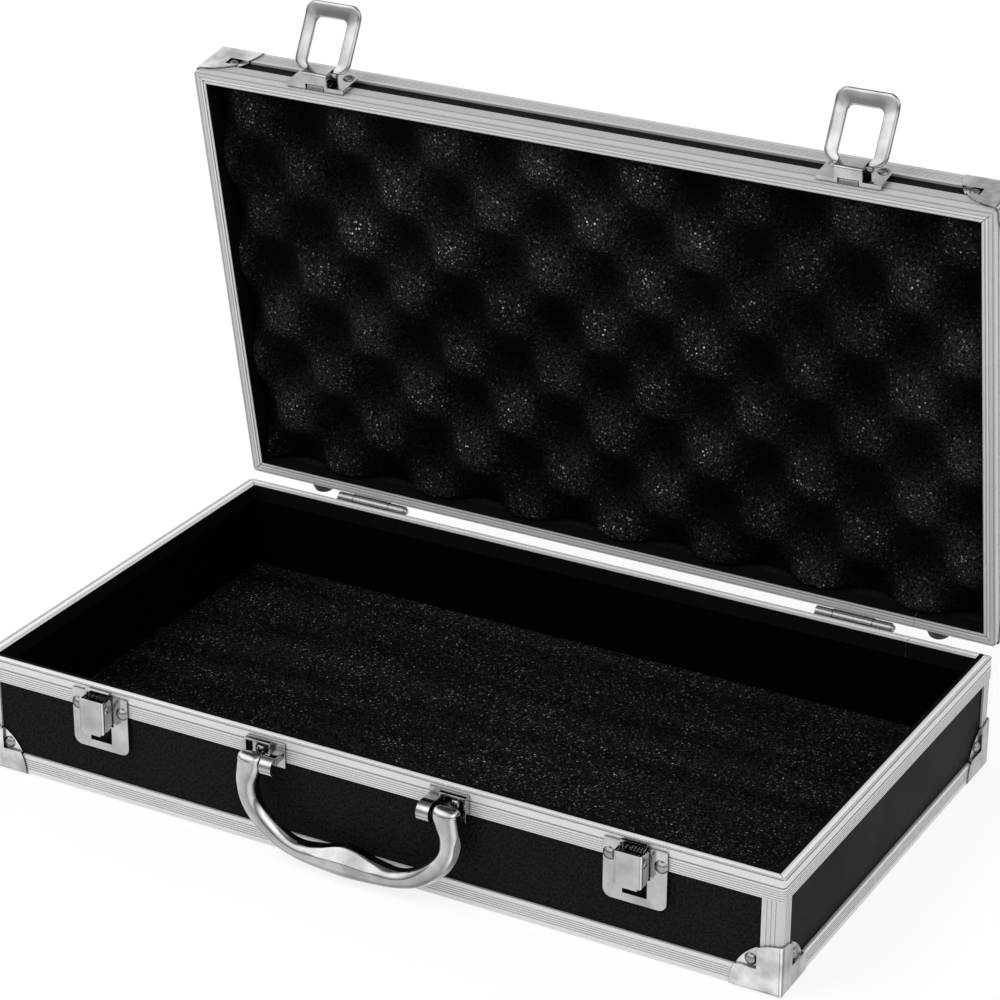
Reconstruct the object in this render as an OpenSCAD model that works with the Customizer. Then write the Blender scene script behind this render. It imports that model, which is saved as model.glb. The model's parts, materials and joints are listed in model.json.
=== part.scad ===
// Aluminium framed briefcase with a hinged lid, spring latches, hasps and a swinging handle.
// Millimetres, +Z up, front of the case towards -Y, lid shown open.

/* [Case] */
// Width over the side frames, along X
case_w = 400; // [360:1:440]
// Depth over the front and back frames, along Y
case_d = 224.6; // [210:0.1:250]
// Height of the base half, from the floor to its rim
base_h = 55.3; // [54:0.1:66]
// Height of the lid half, from its rim to its top
lid_h = 27; // [26.5:0.1:34]
// Gap between the two rims when shut
seam_gap = 0.3; // [0.2:0.05:0.8]
// Angle the lid stands open, from shut
open_angle = 79.6; // [60:0.1:90]
// Radius of the upright outer corners
corner_r = 2; // [1.6:0.1:3]
// Play between pieces that are seated on each other
seat = 0.05; // [0.02:0.01:0.08]
// Play around soft pads
soft_gap = 0.3; // [0.2:0.05:0.5]

/* [Rim extrusions] */
// Width of the rim face
rim_w = 6; // [5.6:0.1:7]
// Thickness of the rim's upright flanges
rim_t = 1.2; // [1:0.05:1.4]
// Thickness of the rim's face web
web_t = 1.4; // [1.2:0.05:1.8]
// Depth of the flange behind the panels
lip_h = 8; // [6:0.1:9]
// Height of the outer band on the base
base_band = 10.6; // [10.2:0.1:11.5]
// Height of the outer band on the lid
lid_band = 9.8; // [9.6:0.1:10.5]
// Spacing of the fine ribs
rib_pitch = 1.1; // [1:0.05:1.3]
// Width of the grooves between ribs
rib_gap = 0.45; // [0.3:0.05:0.6]
// Depth of the grooves between ribs
rib_depth = 0.22; // [0.1:0.01:0.3]
// Distance of the dark shadow line from the rim face
line_z = 4.4; // [4:0.1:4.8]
// Width of the shadow line
line_w = 0.8; // [0.5:0.05:1]
// Depth of the shadow line
line_depth = 0.5; // [0.3:0.05:0.6]
// Inset of the bead line on the base rim's face
base_bead = 0.9; // [0.7:0.05:1.2]
// Inset of the bead line on the lid rim's face
lid_bead = 4.2; // [3.8:0.05:4.4]
// Width of the bead lines
bead_w = 0.5; // [0.3:0.05:0.6]
// Depth of the bead lines
bead_depth = 0.3; // [0.2:0.05:0.4]
// Width of the mitre slits and of the butt seam
mitre_w = 0.3; // [0.2:0.05:0.4]
// Inset where the mitre slits start
mitre_o = 2; // [1.8:0.1:2.4]
// Distance of the butt seam along the back from the case's side
butt_inset = 40; // [36:1:44]

/* [Rails, posts and panels] */
// Thickness of the rails
rail_t = 1.2; // [1:0.05:1.2]
// Width of the rails' flat legs
rail_leg = 10; // [8:0.5:12]
// Top of the base rails above the floor
base_rail = 10.2; // [9.8:0.1:10.6]
// Reach of the lid rails down from the lid's top
lid_rail = 10; // [9.6:0.1:10.2]
// Thickness of the corner posts
post_t = 1; // [0.8:0.05:1]
// Width of the posts' legs on front and back
post_front = 10; // [9:0.1:10.5]
// Width of the posts' legs on the sides
post_side = 7.8; // [7.4:0.1:8.2]
// Thickness of the large top and bottom panels
board_t = 3.2; // [3:0.1:4]
// Thickness of the lining on the inner walls
lining_t = 1.15; // [1:0.05:1.15]

/* [Corner protectors] */
// Radius of the quarter-round flanges
prot_r = 23; // [22.8:0.1:24]
// Thickness of the pressed sheet
prot_t = 0.8; // [0.6:0.05:0.9]
// Depth the rivet pockets are sunk
pocket_d = 1.3; // [1.2:0.05:1.3]
// Rivet distance from the side of the case
prot_rivet_a = 14; // [13.9:0.1:14.5]
// Rivet distance from the corner on the side flange
prot_rivet_c = 12.6; // [12.2:0.1:13]
// Rivet height on the base
base_rivet_z = 14.6; // [14.3:0.1:15]
// Rivet distance from the lid's top
lid_rivet_z = 13.6; // [13.5:0.05:13.7]
// Head radius of the base rivets
base_rivet_r = 2.8; // [2.4:0.1:2.9]
// Head radius of the lid rivets
lid_rivet_r = 2.6; // [2.3:0.05:2.6]
// Head height of the protector rivets
prot_rivet_h = 1.7; // [1.2:0.1:2]
// Shank radius of the protector rivets
prot_shank_r = 1.5; // [1.2:0.1:1.6]

/* [Foam pads and feet] */
// Thickness of the floor pad
floor_foam_t = 9.1; // [6:0.1:14]
// Thickness of the lid pad at its bumps
lid_foam_t = 19; // [16:0.1:19]
// Depth from the bumps to the pits
egg_depth = 9.5; // [6:0.1:11]
// Spacing of the bumps along X
egg_pitch_x = 51.2; // [45:0.1:56]
// Spacing of the rows of bumps along Y
egg_pitch_y = 27.8; // [25:0.1:30]
// Place of one bump along X
egg_x = 31.6; // [0:0.1:51]
// Place of the same bump along Y
egg_y = 19.2; // [0:0.1:28]
// Distance of the rear feet from the case's sides
foot_inset = 33; // [32:1:38]
// Height of the base feet above the floor
base_foot_z = 18.8; // [18.6:0.1:22]
// Distance of the lid feet from the lid's top
lid_foot_z = 13.8; // [13:0.1:14.5]
// Radius of a foot where it meets the wall
foot_r = 8; // [7:0.1:8.2]
// Radius of a foot's tip
foot_tip_r = 4.3; // [3.6:0.1:5]
// Reach of the feet behind the case
foot_out = 10.8; // [9:0.1:12]

/* [Hinges] */
// Distance of the hinges' middle from the case's sides
hinge_inset = 69.8; // [68:0.1:76]
// Length of a hinge
hinge_w = 38; // [37:0.1:40]
// Distance of the hinge axis behind the case
axis_out = 3.3; // [3.2:0.05:3.6]
// Radius of the knuckles
knuckle_r = 2.5; // [2.3:0.05:2.5]
// Length of the first base knuckle
knuckle_a = 8.7; // [8:0.1:9.5]
// Length of the lid knuckle
knuckle_b = 20; // [18:0.1:21]
// Gap between neighbouring knuckles
knuckle_gap = 0.3; // [0.2:0.05:0.5]
// Thickness of the leaves
leaf_t = 1.2; // [1:0.05:1.3]
// Reach of the leaves from the axis
leaf_h = 9.6; // [9.4:0.1:9.7]
// Radius of the hinge pins
pin_r = 1.2; // [1:0.05:1.3]
// Radial play of every pin in its bores
pin_play = 0.05; // [0.02:0.01:0.08]
// Radius of the leaf rivet heads
leaf_rivet_r = 2.2; // [1.8:0.1:2.4]
// Distance of the leaf rivets from the axis
leaf_rivet_z = 6; // [5.6:0.1:6.4]

/* [Latches] */
// Distance of the latches and hasps from the case's sides
latch_inset = 66.6; // [55:0.1:80]
// Width of the latch plate
plate_w = 29.4; // [29:0.1:32]
// Distance of the latch plate's lower edge below the base's rim
plate_drop0 = 29.9; // [28.8:0.1:31.3]
// Distance of the latch plate's upper edge below the base's rim
plate_drop1 = 1.9; // [1.5:0.1:2.1]
// Thickness of the latch plate
plate_t = 1; // [0.8:0.05:1]
// Radius of the plate's lower corners
plate_r = 4; // [3.5:0.1:6]
// Half width of the window under the lever
window_w = 5.7; // [5:0.1:6]
// Distance of the window's lower edge below the base's rim
window_drop = 26.1; // [25.3:0.1:26.9]
// Distance of the latch rivets from the latch's middle
latch_rivet_x = 11.8; // [11.6:0.1:12]
// Distance of the latch rivets below the base's rim
latch_rivet_drop = 9.1; // [8.3:0.1:9.5]
// Head radius of the latch rivets
latch_rivet_r = 3.1; // [2.6:0.1:3.2]
// Head height of the latch rivets
latch_rivet_h = 1.8; // [1.4:0.1:2]
// Width of the lever
lever_w = 13.4; // [13:0.1:13.6]
// Thickness of the lever's sheet
lever_t = 0.8; // [0.7:0.05:0.9]
// Outer radius of the lever's bends
lever_bend = 1.3; // [1:0.05:1.6]
// Reach of the lever's face in front of the case
lever_out = 8; // [7.9:0.1:8.4]
// Distance of the lever's lower edge below the base's rim
lever_drop0 = 18.3; // [18.1:0.05:18.4]
// Distance of the lever's upper edge below the base's rim
lever_drop1 = 2.6; // [2.5:0.1:3.3]
// Reach of the hook under the lever's lower edge
hook_h = 0.9; // [0.7:0.05:1]
// Half width of the hook
hook_w = 4.5; // [3.5:0.1:5]
// Distance of the lever's pivot below the base's rim
lever_pivot_drop = 7.2; // [6.9:0.1:7.5]
// Distance of the lever's pivot in front of the case
lever_pivot_out = 4.6; // [4.5:0.05:4.8]
// Radius of the lever pins
lever_pin_r = 1.5; // [1.3:0.05:1.5]
// Half width of the tongue at the plate's top
tongue_w = 6; // [5:0.1:6.5]

/* [Hasps] */
// Width of the hasp plate
hasp_w = 30.5; // [30:0.1:32]
// Distance of the hasp plate's rim edge above the base's rim when shut
hasp_rise0 = 1.2; // [1:0.1:1.7]
// Distance of the hasp plate's far edge above the base's rim when shut
hasp_rise1 = 17.9; // [17.6:0.1:18.7]
// Reach of the hasp plate in front of the case
hasp_out = 2.5; // [2.3:0.1:2.6]
// Radius of the plate's far corners
hasp_r = 4.5; // [3.5:0.1:5]
// Half width of the spring housing
housing_w = 6.5; // [6.3:0.05:6.9]
// Distance of the housing's far edge above the base's rim when shut
housing_rise = 11.7; // [11.2:0.1:12.2]
// Reach of the housing in front of the case
housing_out = 8.7; // [8.5:0.05:9]
// Radius of the loop's pivot bar
bar_r = 1.4; // [1.2:0.05:1.4]
// Distance of the pivot bar above the base's rim when shut
bar_rise = 7.2; // [7:0.05:7.3]
// Distance of the bar in front of the case
bar_out = 6.3; // [6.2:0.05:6.4]
// Angle the loops stand at, from hanging
loop_angle = 128; // [120:0.5:140]
// Width of the loop
loop_w = 30; // [28:0.1:31]
// Length of the loop from the bar to its free edge
loop_l = 33; // [32:0.1:34]
// Radius of the loop's free corners
loop_r = 5.5; // [4:0.1:6]
// Width of the loop's opening
loop_gap = 17; // [16.6:0.1:17.6]
// Radius of the opening's corners at the crossbar
loop_gap_r = 2.8; // [1:0.1:3]
// Distance of the crossbar from the bar
crossbar_v = 25.8; // [25.7:0.05:25.9]
// Bend of the crossbar
crossbar_bend = 12; // [8:0.5:14]
// Thickness of the loop
loop_t = 2; // [1.8:0.05:2]
// Distance of the hasp rivets from the hasp's middle
hasp_rivet_x = 11.2; // [10.8:0.1:11.5]
// Distance of the hasp rivets above the base's rim when shut
hasp_rivet_rise = 13.4; // [13.1:0.1:13.7]
// Head radius of the hasp rivets
hasp_rivet_r = 3; // [2.6:0.1:3.2]
// Half width of the leaf springs
spring_w = 4.5; // [3.5:0.1:4.7]
// Thickness of the leaf springs
spring_t = 0.4; // [0.3:0.05:0.5]

/* [Handle] */
// Distance of the brackets' middle from the case's middle
bracket_x = 48.6; // [47:0.1:52]
// Distance of the handle's pivot below the base's rim
handle_drop = 8.8; // [8.3:0.1:9.1]
// Distance of the handle's pivot in front of the case
handle_out = 8.5; // [8.4:0.1:9]
// Half width of the bracket's screw dish
dish_w = 6.5; // [6:0.1:6.6]
// Depth of the screw dish
dish_d = 3.7; // [3:0.1:3.7]
// Distance of the screw dish's upper edge below the base's rim
dish_drop1 = 1.3; // [1.1:0.1:2.3]
// Distance of the screw dish's lower edge below the base's rim
dish_drop0 = 13.3; // [12.8:0.1:14.3]
// Sheet thickness of the brackets
bracket_t = 0.9; // [0.8:0.05:1]
// Width of the strap beside the dish
strap_w = 6; // [5:0.1:7]
// Radius of the strap's nose
strap_r = 4.5; // [4.2:0.1:4.5]
// Radius of the handle's bosses
boss_r = 4.4; // [4.2:0.05:4.4]
// Rounding of the bosses' rims
boss_edge = 2; // [0.5:0.1:2.1]
// Radius of the handle's pins
handle_pin_r = 2; // [1.6:0.05:2.2]
// Distance of the bracket screws below the base's rim
screw_drop = 6.6; // [6.1:0.1:7.1]
// Height of the grip above the floor
grip_z = 9.3; // [9:0.1:12]
// Width of the handle's legs
leg_w = 9.2; // [8.6:0.1:9.4]
// Thickness of the handle's legs
leg_t = 8.4; // [7.8:0.1:8.6]
// Thickness of the grip in the middle
grip_t = 14; // [11:0.1:14.4]
// Width of the grip in the middle
grip_w = 15; // [12:0.1:15.5]

/* [Hidden] */
$fn = 64;

half_w = case_w / 2;
half_d = case_d / 2;
butt_x = half_w - butt_inset;
foot_x = half_w - foot_inset;
hinge_x = half_w - hinge_inset;
latch_x = half_w - latch_inset;
plate_z0 = base_h - plate_drop0;
plate_z1 = base_h - plate_drop1;
window_z = base_h - window_drop;
latch_rivet_z = base_h - latch_rivet_drop;
lever_z0 = base_h - lever_drop0;
lever_z1 = base_h - lever_drop1;
lever_pivot_z = base_h - lever_pivot_drop;
dish_z1 = base_h - dish_drop1;
dish_z0 = base_h - dish_drop0;
screw_z = base_h - screw_drop;
handle_z = base_h - handle_drop;
hasp_z0 = base_h + hasp_rise0;
hasp_z1 = base_h + hasp_rise1;
housing_z1 = base_h + housing_rise;
bar_z = base_h + bar_rise;
hasp_rivet_z = base_h + hasp_rivet_rise;
total_h = base_h + seam_gap + lid_h;
skin = prot_t + seat;
board_z0 = skin + rail_t + seat;
board_z1 = board_z0 + board_t;
wall_z0 = board_z1 + seat;
wall_o0 = rim_t + 0.1;
wall_o1 = rim_w - rim_t - 0.1;
lining_o = wall_o1 + seat;
post_o = wall_o0 - seat - post_t;
wall_r = corner_r - post_t - seat;
hinge_y = half_d + axis_out;
hinge_z = base_h + seam_gap / 2;
rivet_end = -(wall_o1 - 0.5);
rivet_hole_end = rivet_end - 0.2;
leaf_clear = knuckle_r + 0.3;
boss_x0 = dish_w - 0.3;
loop_bar_x = 9.2;
hook_z = lever_z0 - hook_h;

// Reach of the open case to front and back, used to centre it on the origin
front_reach = half_d + handle_out + grip_t / 2;
rear_in = axis_out + corner_r - skin;
rear_up = total_h - corner_r - hinge_z;
rear_reach = hinge_y - rear_in * cos(open_angle) + rear_up * sin(open_angle) + corner_r;
case_y = (front_reach - rear_reach) / 2;

alu = [0.78, 0.78, 0.79];
bright = [0.86, 0.86, 0.87];
steel = [0.66, 0.66, 0.68];
black = [0.07, 0.07, 0.075];
foam = [0.1, 0.1, 0.105];

function corner(o) = max(corner_r - o, 0.4);

// Places

module in_base() {
  translate([0, case_y, 0]) children();
}

module in_lid() {
  in_base() translate([0, hinge_y, hinge_z]) rotate([-open_angle, 0, 0]) {
    translate([0, -hinge_y, -hinge_z]) children();
  }
}

module in_lid_shell() {
  in_lid() translate([0, 0, total_h]) mirror([0, 0, 1]) children();
}

module on_front(x) {
  translate([x, -half_d, 0]) mirror([0, 1, 0]) children();
}

module on_back(x) {
  translate([x, half_d, 0]) children();
}

module at_corner(sx, sy) {
  translate([sx * half_w, sy * half_d, 0]) {
    mirror([sx > 0 ? 1 : 0, 0, 0]) mirror([0, sy > 0 ? 1 : 0, 0]) children();
  }
}

// Basic solids

module slab_x(x0, x1) {
  translate([x0, 0, 0]) rotate([90, 0, 90]) linear_extrude(x1 - x0) children();
}

module slab_y(y0, y1) {
  translate([0, y1, 0]) rotate([90, 0, 0]) linear_extrude(y1 - y0) children();
}

module rod_x(x0, x1, y, z, r) {
  translate([x0, y, z]) rotate([0, 90, 0]) cylinder(r = r, h = x1 - x0);
}

module rod_y(y0, y1, x, z, r) {
  translate([x, y1, z]) rotate([90, 0, 0]) cylinder(r = r, h = y1 - y0);
}

module block(x0, x1, y0, y1, z0, z1) {
  translate([x0, y0, z0]) cube([x1 - x0, y1 - y0, z1 - z0]);
}

module round_rect(w, d, r) {
  square([w, d - 2 * r], center = true);
  square([w - 2 * r, d], center = true);
  for (sx = [-1, 1]) {
    for (sy = [-1, 1]) {
      translate([sx * (w / 2 - r), sy * (d / 2 - r)]) circle(r);
    }
  }
}

// Upright case-shaped block, inset by o from the frame's outer faces
module case_block(o, z0, z1, r = 0) {
  translate([0, 0, z0]) linear_extrude(z1 - z0) {
    round_rect(case_w - 2 * o, case_d - 2 * o, max(corner(o), r));
  }
}

module case_ring(o0, o1, z0, z1) {
  difference() {
    case_block(o0, z0, z1);
    case_block(o1, z0 - 1, z1 + 1);
  }
}

// Outline from x = -w/2 to w/2 and z0 to z1 with separate radii below and above
module plate_outline(w, z0, z1, r0, r1) {
  translate([-w / 2, z0 + r0]) square([w, z1 - z0 - r0 - r1]);
  translate([-w / 2 + r0, z0]) square([w - 2 * r0, r0 + 0.01]);
  translate([-w / 2 + r1, z1 - r1 - 0.01]) square([w - 2 * r1, r1 + 0.01]);
  for (s = [-1, 1]) {
    translate([s * (w / 2 - r0), z0 + r0]) circle(r0);
    translate([s * (w / 2 - r1), z1 - r1]) circle(r1);
  }
}

// Domed rivet or screw blank along +Z, head seated on z = 0
module rivet(head_r, head_h, shank_r, shank_l) {
  dome = (head_r * head_r + head_h * head_h) / (2 * head_h);
  rotate_extrude() {
    intersection() {
      translate([0, head_h - dome]) circle(dome);
      square([head_r, head_h]);
    }
    translate([0, -shank_l]) square([shank_r, shank_l + 0.01]);
  }
}

// Rivet pointing out of a front or back wall, head seated at the reach y
module wall_rivet(x, y, z, head_r, head_h, shank_r) {
  translate([x, y, z]) rotate([-90, 0, 0]) rivet(head_r, head_h, shank_r, y - rivet_end);
}

module wall_rivet_hole(x, z, shank_r) {
  rod_y(rivet_hole_end, 12, x, z, shank_r + seat);
}

// Fastener holes that pass through frames and panels

module protector_holes(rivet_z) {
  for (sx = [-1, 1]) {
    for (sy = [-1, 1]) {
      at_corner(sx, sy) {
        rod_y(-3, -rivet_hole_end, prot_rivet_a, rivet_z, prot_shank_r + seat);
        rod_x(-3, -rivet_hole_end, prot_rivet_c, rivet_z, prot_shank_r + seat);
      }
    }
  }
}

module latch_holes() {
  for (sx = [-1, 1]) {
    on_front(sx * latch_x) {
      for (s = [-1, 1]) {
        wall_rivet_hole(s * latch_rivet_x, latch_rivet_z, prot_shank_r);
      }
    }
  }
}

module bracket_holes() {
  for (sx = [-1, 1]) {
    on_front(sx * bracket_x) wall_rivet_hole(0, screw_z, prot_shank_r);
  }
}

module hasp_holes() {
  for (sx = [-1, 1]) {
    on_front(sx * latch_x) {
      for (s = [-1, 1]) {
        wall_rivet_hole(s * hasp_rivet_x, hasp_rivet_z, prot_shank_r);
      }
    }
  }
}

module leaf_holes(side) {
  for (sx = [-1, 1]) {
    for (k = [-1, 0, 1]) {
      on_back(sx * hinge_x) wall_rivet_hole(k * hinge_w / 3, hinge_z + side * leaf_rivet_z, pin_r);
    }
  }
}

// Shared halves, drawn with the outer skin at z = 0 and the rim face at z = h

module rim(h, band, bead_o) {
  difference() {
    union() {
      case_ring(0, rim_t, h - band, h);
      case_ring(0, rim_w, h - web_t, h);
      case_ring(rim_w - rim_t, rim_w, h - lip_h, h);
    }
    for (k = [0 : 4]) {
      case_ring(-1, rib_depth, h - band + 0.5 + k * rib_pitch, h - band + 0.5 + k * rib_pitch + rib_gap);
    }
    case_ring(-1, line_depth, h - line_z, h - line_z + line_w);
    case_ring(bead_o, bead_o + bead_w, h - bead_depth, h + 1);
    for (sx = [-1, 1]) {
      for (sy = [-1, 1]) {
        at_corner(sx, sy) rotate([0, 0, 45]) {
          block(mitre_o * sqrt(2), 2 * rim_w, -mitre_w / 2, mitre_w / 2, h - band - 1, h + 1);
        }
      }
    }
    block(butt_x, butt_x + mitre_w, half_d - 2 * rim_w, half_d + 1, h - band - 1, h + 1);
  }
}

module rail_x(sy, top) {
  translate([0, sy * half_d, 0]) mirror([0, sy > 0 ? 1 : 0, 0]) {
    difference() {
      slab_x(-(half_w - post_front - 0.1), half_w - post_front - 0.1) {
        translate([0, skin]) square([rail_t, top - skin]);
        translate([0, skin]) square([rail_leg, rail_t]);
      }
      for (k = [0 : 4]) {
        block(-half_w, half_w, -1, rib_depth, top - 7 + k * rib_pitch, top - 7 + k * rib_pitch + rib_gap);
      }
    }
  }
}

module rail_y(sx, top) {
  translate([sx * half_w, 0, 0]) mirror([sx > 0 ? 1 : 0, 0, 0]) {
    difference() {
      slab_y(-(half_d - rail_leg - 0.1), half_d - rail_leg - 0.1) {
        translate([0, skin]) square([rail_t, top - skin]);
        translate([0, skin]) square([rail_leg, rail_t]);
      }
      for (k = [0 : 4]) {
        block(-1, rib_depth, -half_d, half_d, top - 7 + k * rib_pitch, top - 7 + k * rib_pitch + rib_gap);
      }
    }
  }
}

// Corner post with fine lengthwise ribs, local corner at the origin
module post(z1) {
  difference() {
    translate([0, 0, skin]) linear_extrude(z1 - seat - skin) {
      translate([post_o, post_o + corner_r]) square([post_t, post_side - post_o - corner_r]);
      translate([post_o + corner_r, post_o]) square([post_front - post_o - corner_r, post_t]);
      difference() {
        translate([post_o + corner_r, post_o + corner_r]) circle(corner_r);
        translate([post_o + corner_r, post_o + corner_r]) circle(corner_r - post_t);
        translate([post_o + corner_r, -1]) square([4 * corner_r, 8 * corner_r]);
        translate([-1, post_o + corner_r]) square([8 * corner_r, 4 * corner_r]);
      }
    }
    for (k = [0 : 2]) {
      block(3.4 + k * 2, 3.4 + k * 2 + rib_gap, -1, post_o + rib_depth, 0, z1);
      block(-1, post_o + rib_depth, 2.8 + k * 1.6, 2.8 + k * 1.6 + rib_gap, 0, z1);
    }
  }
}

module wall_x(sy, h) {
  intersection() {
    case_block(wall_o0, wall_z0, h - web_t - seat, wall_r);
    block(-half_w, half_w, sy > 0 ? half_d - wall_o1 : -half_d, sy > 0 ? half_d : -half_d + wall_o1, 0, h);
  }
}

module wall_y(sx, h) {
  side_y = half_d - wall_o1 - seat;
  intersection() {
    case_block(wall_o0, wall_z0, h - web_t - seat, wall_r);
    block(sx > 0 ? half_w - wall_o1 : -half_w, sx > 0 ? half_w : -half_w + wall_o1, -side_y, side_y, 0, h);
  }
}

// Discs that give a protector's three flanges their quarter-round outlines
module flange_discs() {
  rod_y(-prot_t - 1, pocket_d, 0, skin, prot_r);
  rod_x(-prot_t - 1, pocket_d, 0, skin, prot_r);
  translate([0, 0, -1]) cylinder(r = prot_r, h = skin + 1 + pocket_d);
}

// Pressed corner protector with a rivet pocket sunk in each upright flange, local corner at the origin
module protector(rail_top, band_z, rivet_z) {
  fold = prot_t;
  reach = 2 * prot_r;
  out0 = -skin;
  mid = out0 + reach / 2;
  floor_o = pocket_d - seat - fold;
  pocket_a = post_front + 0.1;
  pocket_c = post_side + 0.1;
  pocket_z = rail_top + 0.1;
  difference() {
    intersection() {
      union() {
        difference() {
          intersection() {
            translate([0, 0, -1]) linear_extrude(reach) {
              translate([mid, mid]) round_rect(reach, reach, corner_r);
            }
            translate([0, reach + out0, 0]) rotate([90, 0, 0]) linear_extrude(reach) {
              translate([mid, reach / 2]) round_rect(reach, reach, corner_r);
            }
            slab_x(out0, reach) translate([mid, reach / 2]) round_rect(reach, reach, corner_r);
          }
          translate([-seat, -seat, skin - seat]) cube(1.5 * reach);
        }
        block(pocket_a, reach, out0, pocket_d - seat, pocket_z, band_z - 0.1);
        block(out0, pocket_d - seat, pocket_c, reach, pocket_z, band_z - 0.1);
      }
      flange_discs();
    }
    block(pocket_a + fold, reach, out0 - 1, floor_o, pocket_z + fold, band_z - 0.1 - fold);
    block(out0 - 1, floor_o, pocket_c + fold, reach, pocket_z + fold, band_z - 0.1 - fold);
    rod_y(-3, 3, prot_rivet_a, rivet_z, prot_shank_r + seat);
    rod_x(-3, 3, prot_rivet_c, rivet_z, prot_shank_r + seat);
  }
}

module protector_rivets(rivet_z, head_r) {
  floor_o = pocket_d - seat - prot_t;
  for (sx = [-1, 1]) {
    for (sy = [-1, 1]) {
      at_corner(sx, sy) {
        translate([prot_rivet_a, floor_o, rivet_z]) rotate([90, 0, 0]) {
          rivet(head_r, prot_rivet_h, prot_shank_r, -rivet_end - floor_o);
        }
        translate([floor_o, prot_rivet_c, rivet_z]) rotate([0, -90, 0]) {
          rivet(head_r, prot_rivet_h, prot_shank_r, -rivet_end - floor_o);
        }
      }
    }
  }
}

// Base half

module base_bottom_panel() {
  color(black) in_base() case_block(wall_o0, board_z0, board_z1, wall_r);
}

module base_front_panel() {
  color(black) in_base() difference() {
    wall_x(-1, base_h);
    protector_holes(base_rivet_z);
    latch_holes();
    bracket_holes();
  }
}

module base_back_panel() {
  color(black) in_base() difference() {
    wall_x(1, base_h);
    protector_holes(base_rivet_z);
    leaf_holes(-1);
  }
}

module base_left_panel() {
  color(black) in_base() difference() {
    wall_y(-1, base_h);
    protector_holes(base_rivet_z);
  }
}

module base_right_panel() {
  color(black) in_base() difference() {
    wall_y(1, base_h);
    protector_holes(base_rivet_z);
  }
}

module base_rim() {
  color(alu) in_base() difference() {
    rim(base_h, base_band, base_bead);
    latch_holes();
    bracket_holes();
    leaf_holes(-1);
  }
}

module base_rail_front() {
  color(alu) in_base() rail_x(-1, base_rail);
}

module base_rail_back() {
  color(alu) in_base() rail_x(1, base_rail);
}

module base_rail_left() {
  color(alu) in_base() rail_y(-1, base_rail);
}

module base_rail_right() {
  color(alu) in_base() rail_y(1, base_rail);
}

module base_posts_front() {
  color(alu) in_base() for (sx = [-1, 1]) {
    at_corner(sx, -1) post(base_h - base_band);
  }
}

module base_posts_back() {
  color(alu) in_base() for (sx = [-1, 1]) {
    at_corner(sx, 1) post(base_h - base_band);
  }
}

module base_protectors_front() {
  color(bright) in_base() for (sx = [-1, 1]) {
    at_corner(sx, -1) protector(base_rail, base_h - base_band, base_rivet_z);
  }
}

module base_protectors_back() {
  color(bright) in_base() for (sx = [-1, 1]) {
    at_corner(sx, 1) protector(base_rail, base_h - base_band, base_rivet_z);
  }
}

module base_protector_rivets() {
  color(steel) in_base() protector_rivets(base_rivet_z, base_rivet_r);
}

module base_lining() {
  color(foam) in_base() case_ring(lining_o, lining_o + lining_t, wall_z0, base_h - lip_h - seat);
}

module base_floor_foam() {
  color(foam) in_base() case_block(rim_w + soft_gap, wall_z0, wall_z0 + floor_foam_t);
}

module foot(length) {
  rotate_extrude() difference() {
    polygon([
      [0, 0],
      [foot_r, 0],
      [foot_r, 1.2],
      [foot_tip_r + 0.8, length - 0.8],
      [foot_tip_r, length],
      [0, length]
    ]);
    translate([0, length - 1]) square([foot_tip_r - 1.6, 2]);
  }
}

module base_rear_feet() {
  color(black) in_base() for (sx = [-1, 1]) {
    on_back(sx * foot_x) translate([0, -wall_o0 + seat, base_foot_z]) rotate([-90, 0, 0]) {
      foot(foot_out + wall_o0 - seat);
    }
  }
}

// Latches

module latch_plate() {
  slit = [lever_w / 2 - lever_t - 0.3, lever_w / 2 + 0.3];
  ear = [slit[0] - 1, slit[0] - 0.1];
  face = plate_t + seat;
  skirt_z = base_h - base_band - seat;
  difference() {
    union() {
      slab_y(seat, face) plate_outline(plate_w, plate_z0, plate_z1, plate_r, 0.8);
      intersection() {
        slab_y(-wall_o0 + seat, 0.5) difference() {
          plate_outline(plate_w, plate_z0, plate_z1, plate_r, 0.8);
          plate_outline(plate_w - 2 * plate_t, plate_z0 + plate_t, plate_z1 + 3, plate_r - plate_t, 0.8);
        }
        block(-plate_w, plate_w, -5, 5, 0, skirt_z);
      }
      slab_y(seat, face) translate([-tongue_w, plate_z1 - 1]) square([2 * tongue_w, 1.1]);
      slab_x(-tongue_w, tongue_w) translate([2 + seat, plate_z1]) {
        intersection() {
          difference() {
            circle(2);
            circle(1.2);
          }
          translate([-2, 0]) square([2, 2]);
        }
        translate([-0.01, 1.2]) square([1, 0.8]);
      }
      for (s = [-1, 1]) {
        slab_x(s > 0 ? ear[0] : -ear[1], s > 0 ? ear[1] : -ear[0]) {
          translate([seat, lever_pivot_z - 2.3]) square([lever_pivot_out - seat, 4.6]);
          translate([lever_pivot_out, lever_pivot_z]) circle(2.3);
        }
      }
    }
    block(-window_w, window_w, -5, 5, window_z, lever_z0 + 0.4);
    for (s = [-1, 1]) {
      block(s > 0 ? slit[0] : -slit[1], s > 0 ? slit[1] : -slit[0], -5, 5, lever_z0 + 1.2, lever_z1 + 0.25);
      wall_rivet_hole(s * latch_rivet_x, latch_rivet_z, prot_shank_r);
    }
    rod_x(-9, 9, lever_pivot_out, lever_pivot_z, lever_pin_r + pin_play);
  }
}

module latch_plate_left() {
  color(bright) in_base() on_front(-latch_x) latch_plate();
}

module latch_plate_right() {
  color(bright) in_base() on_front(latch_x) latch_plate();
}

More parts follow.
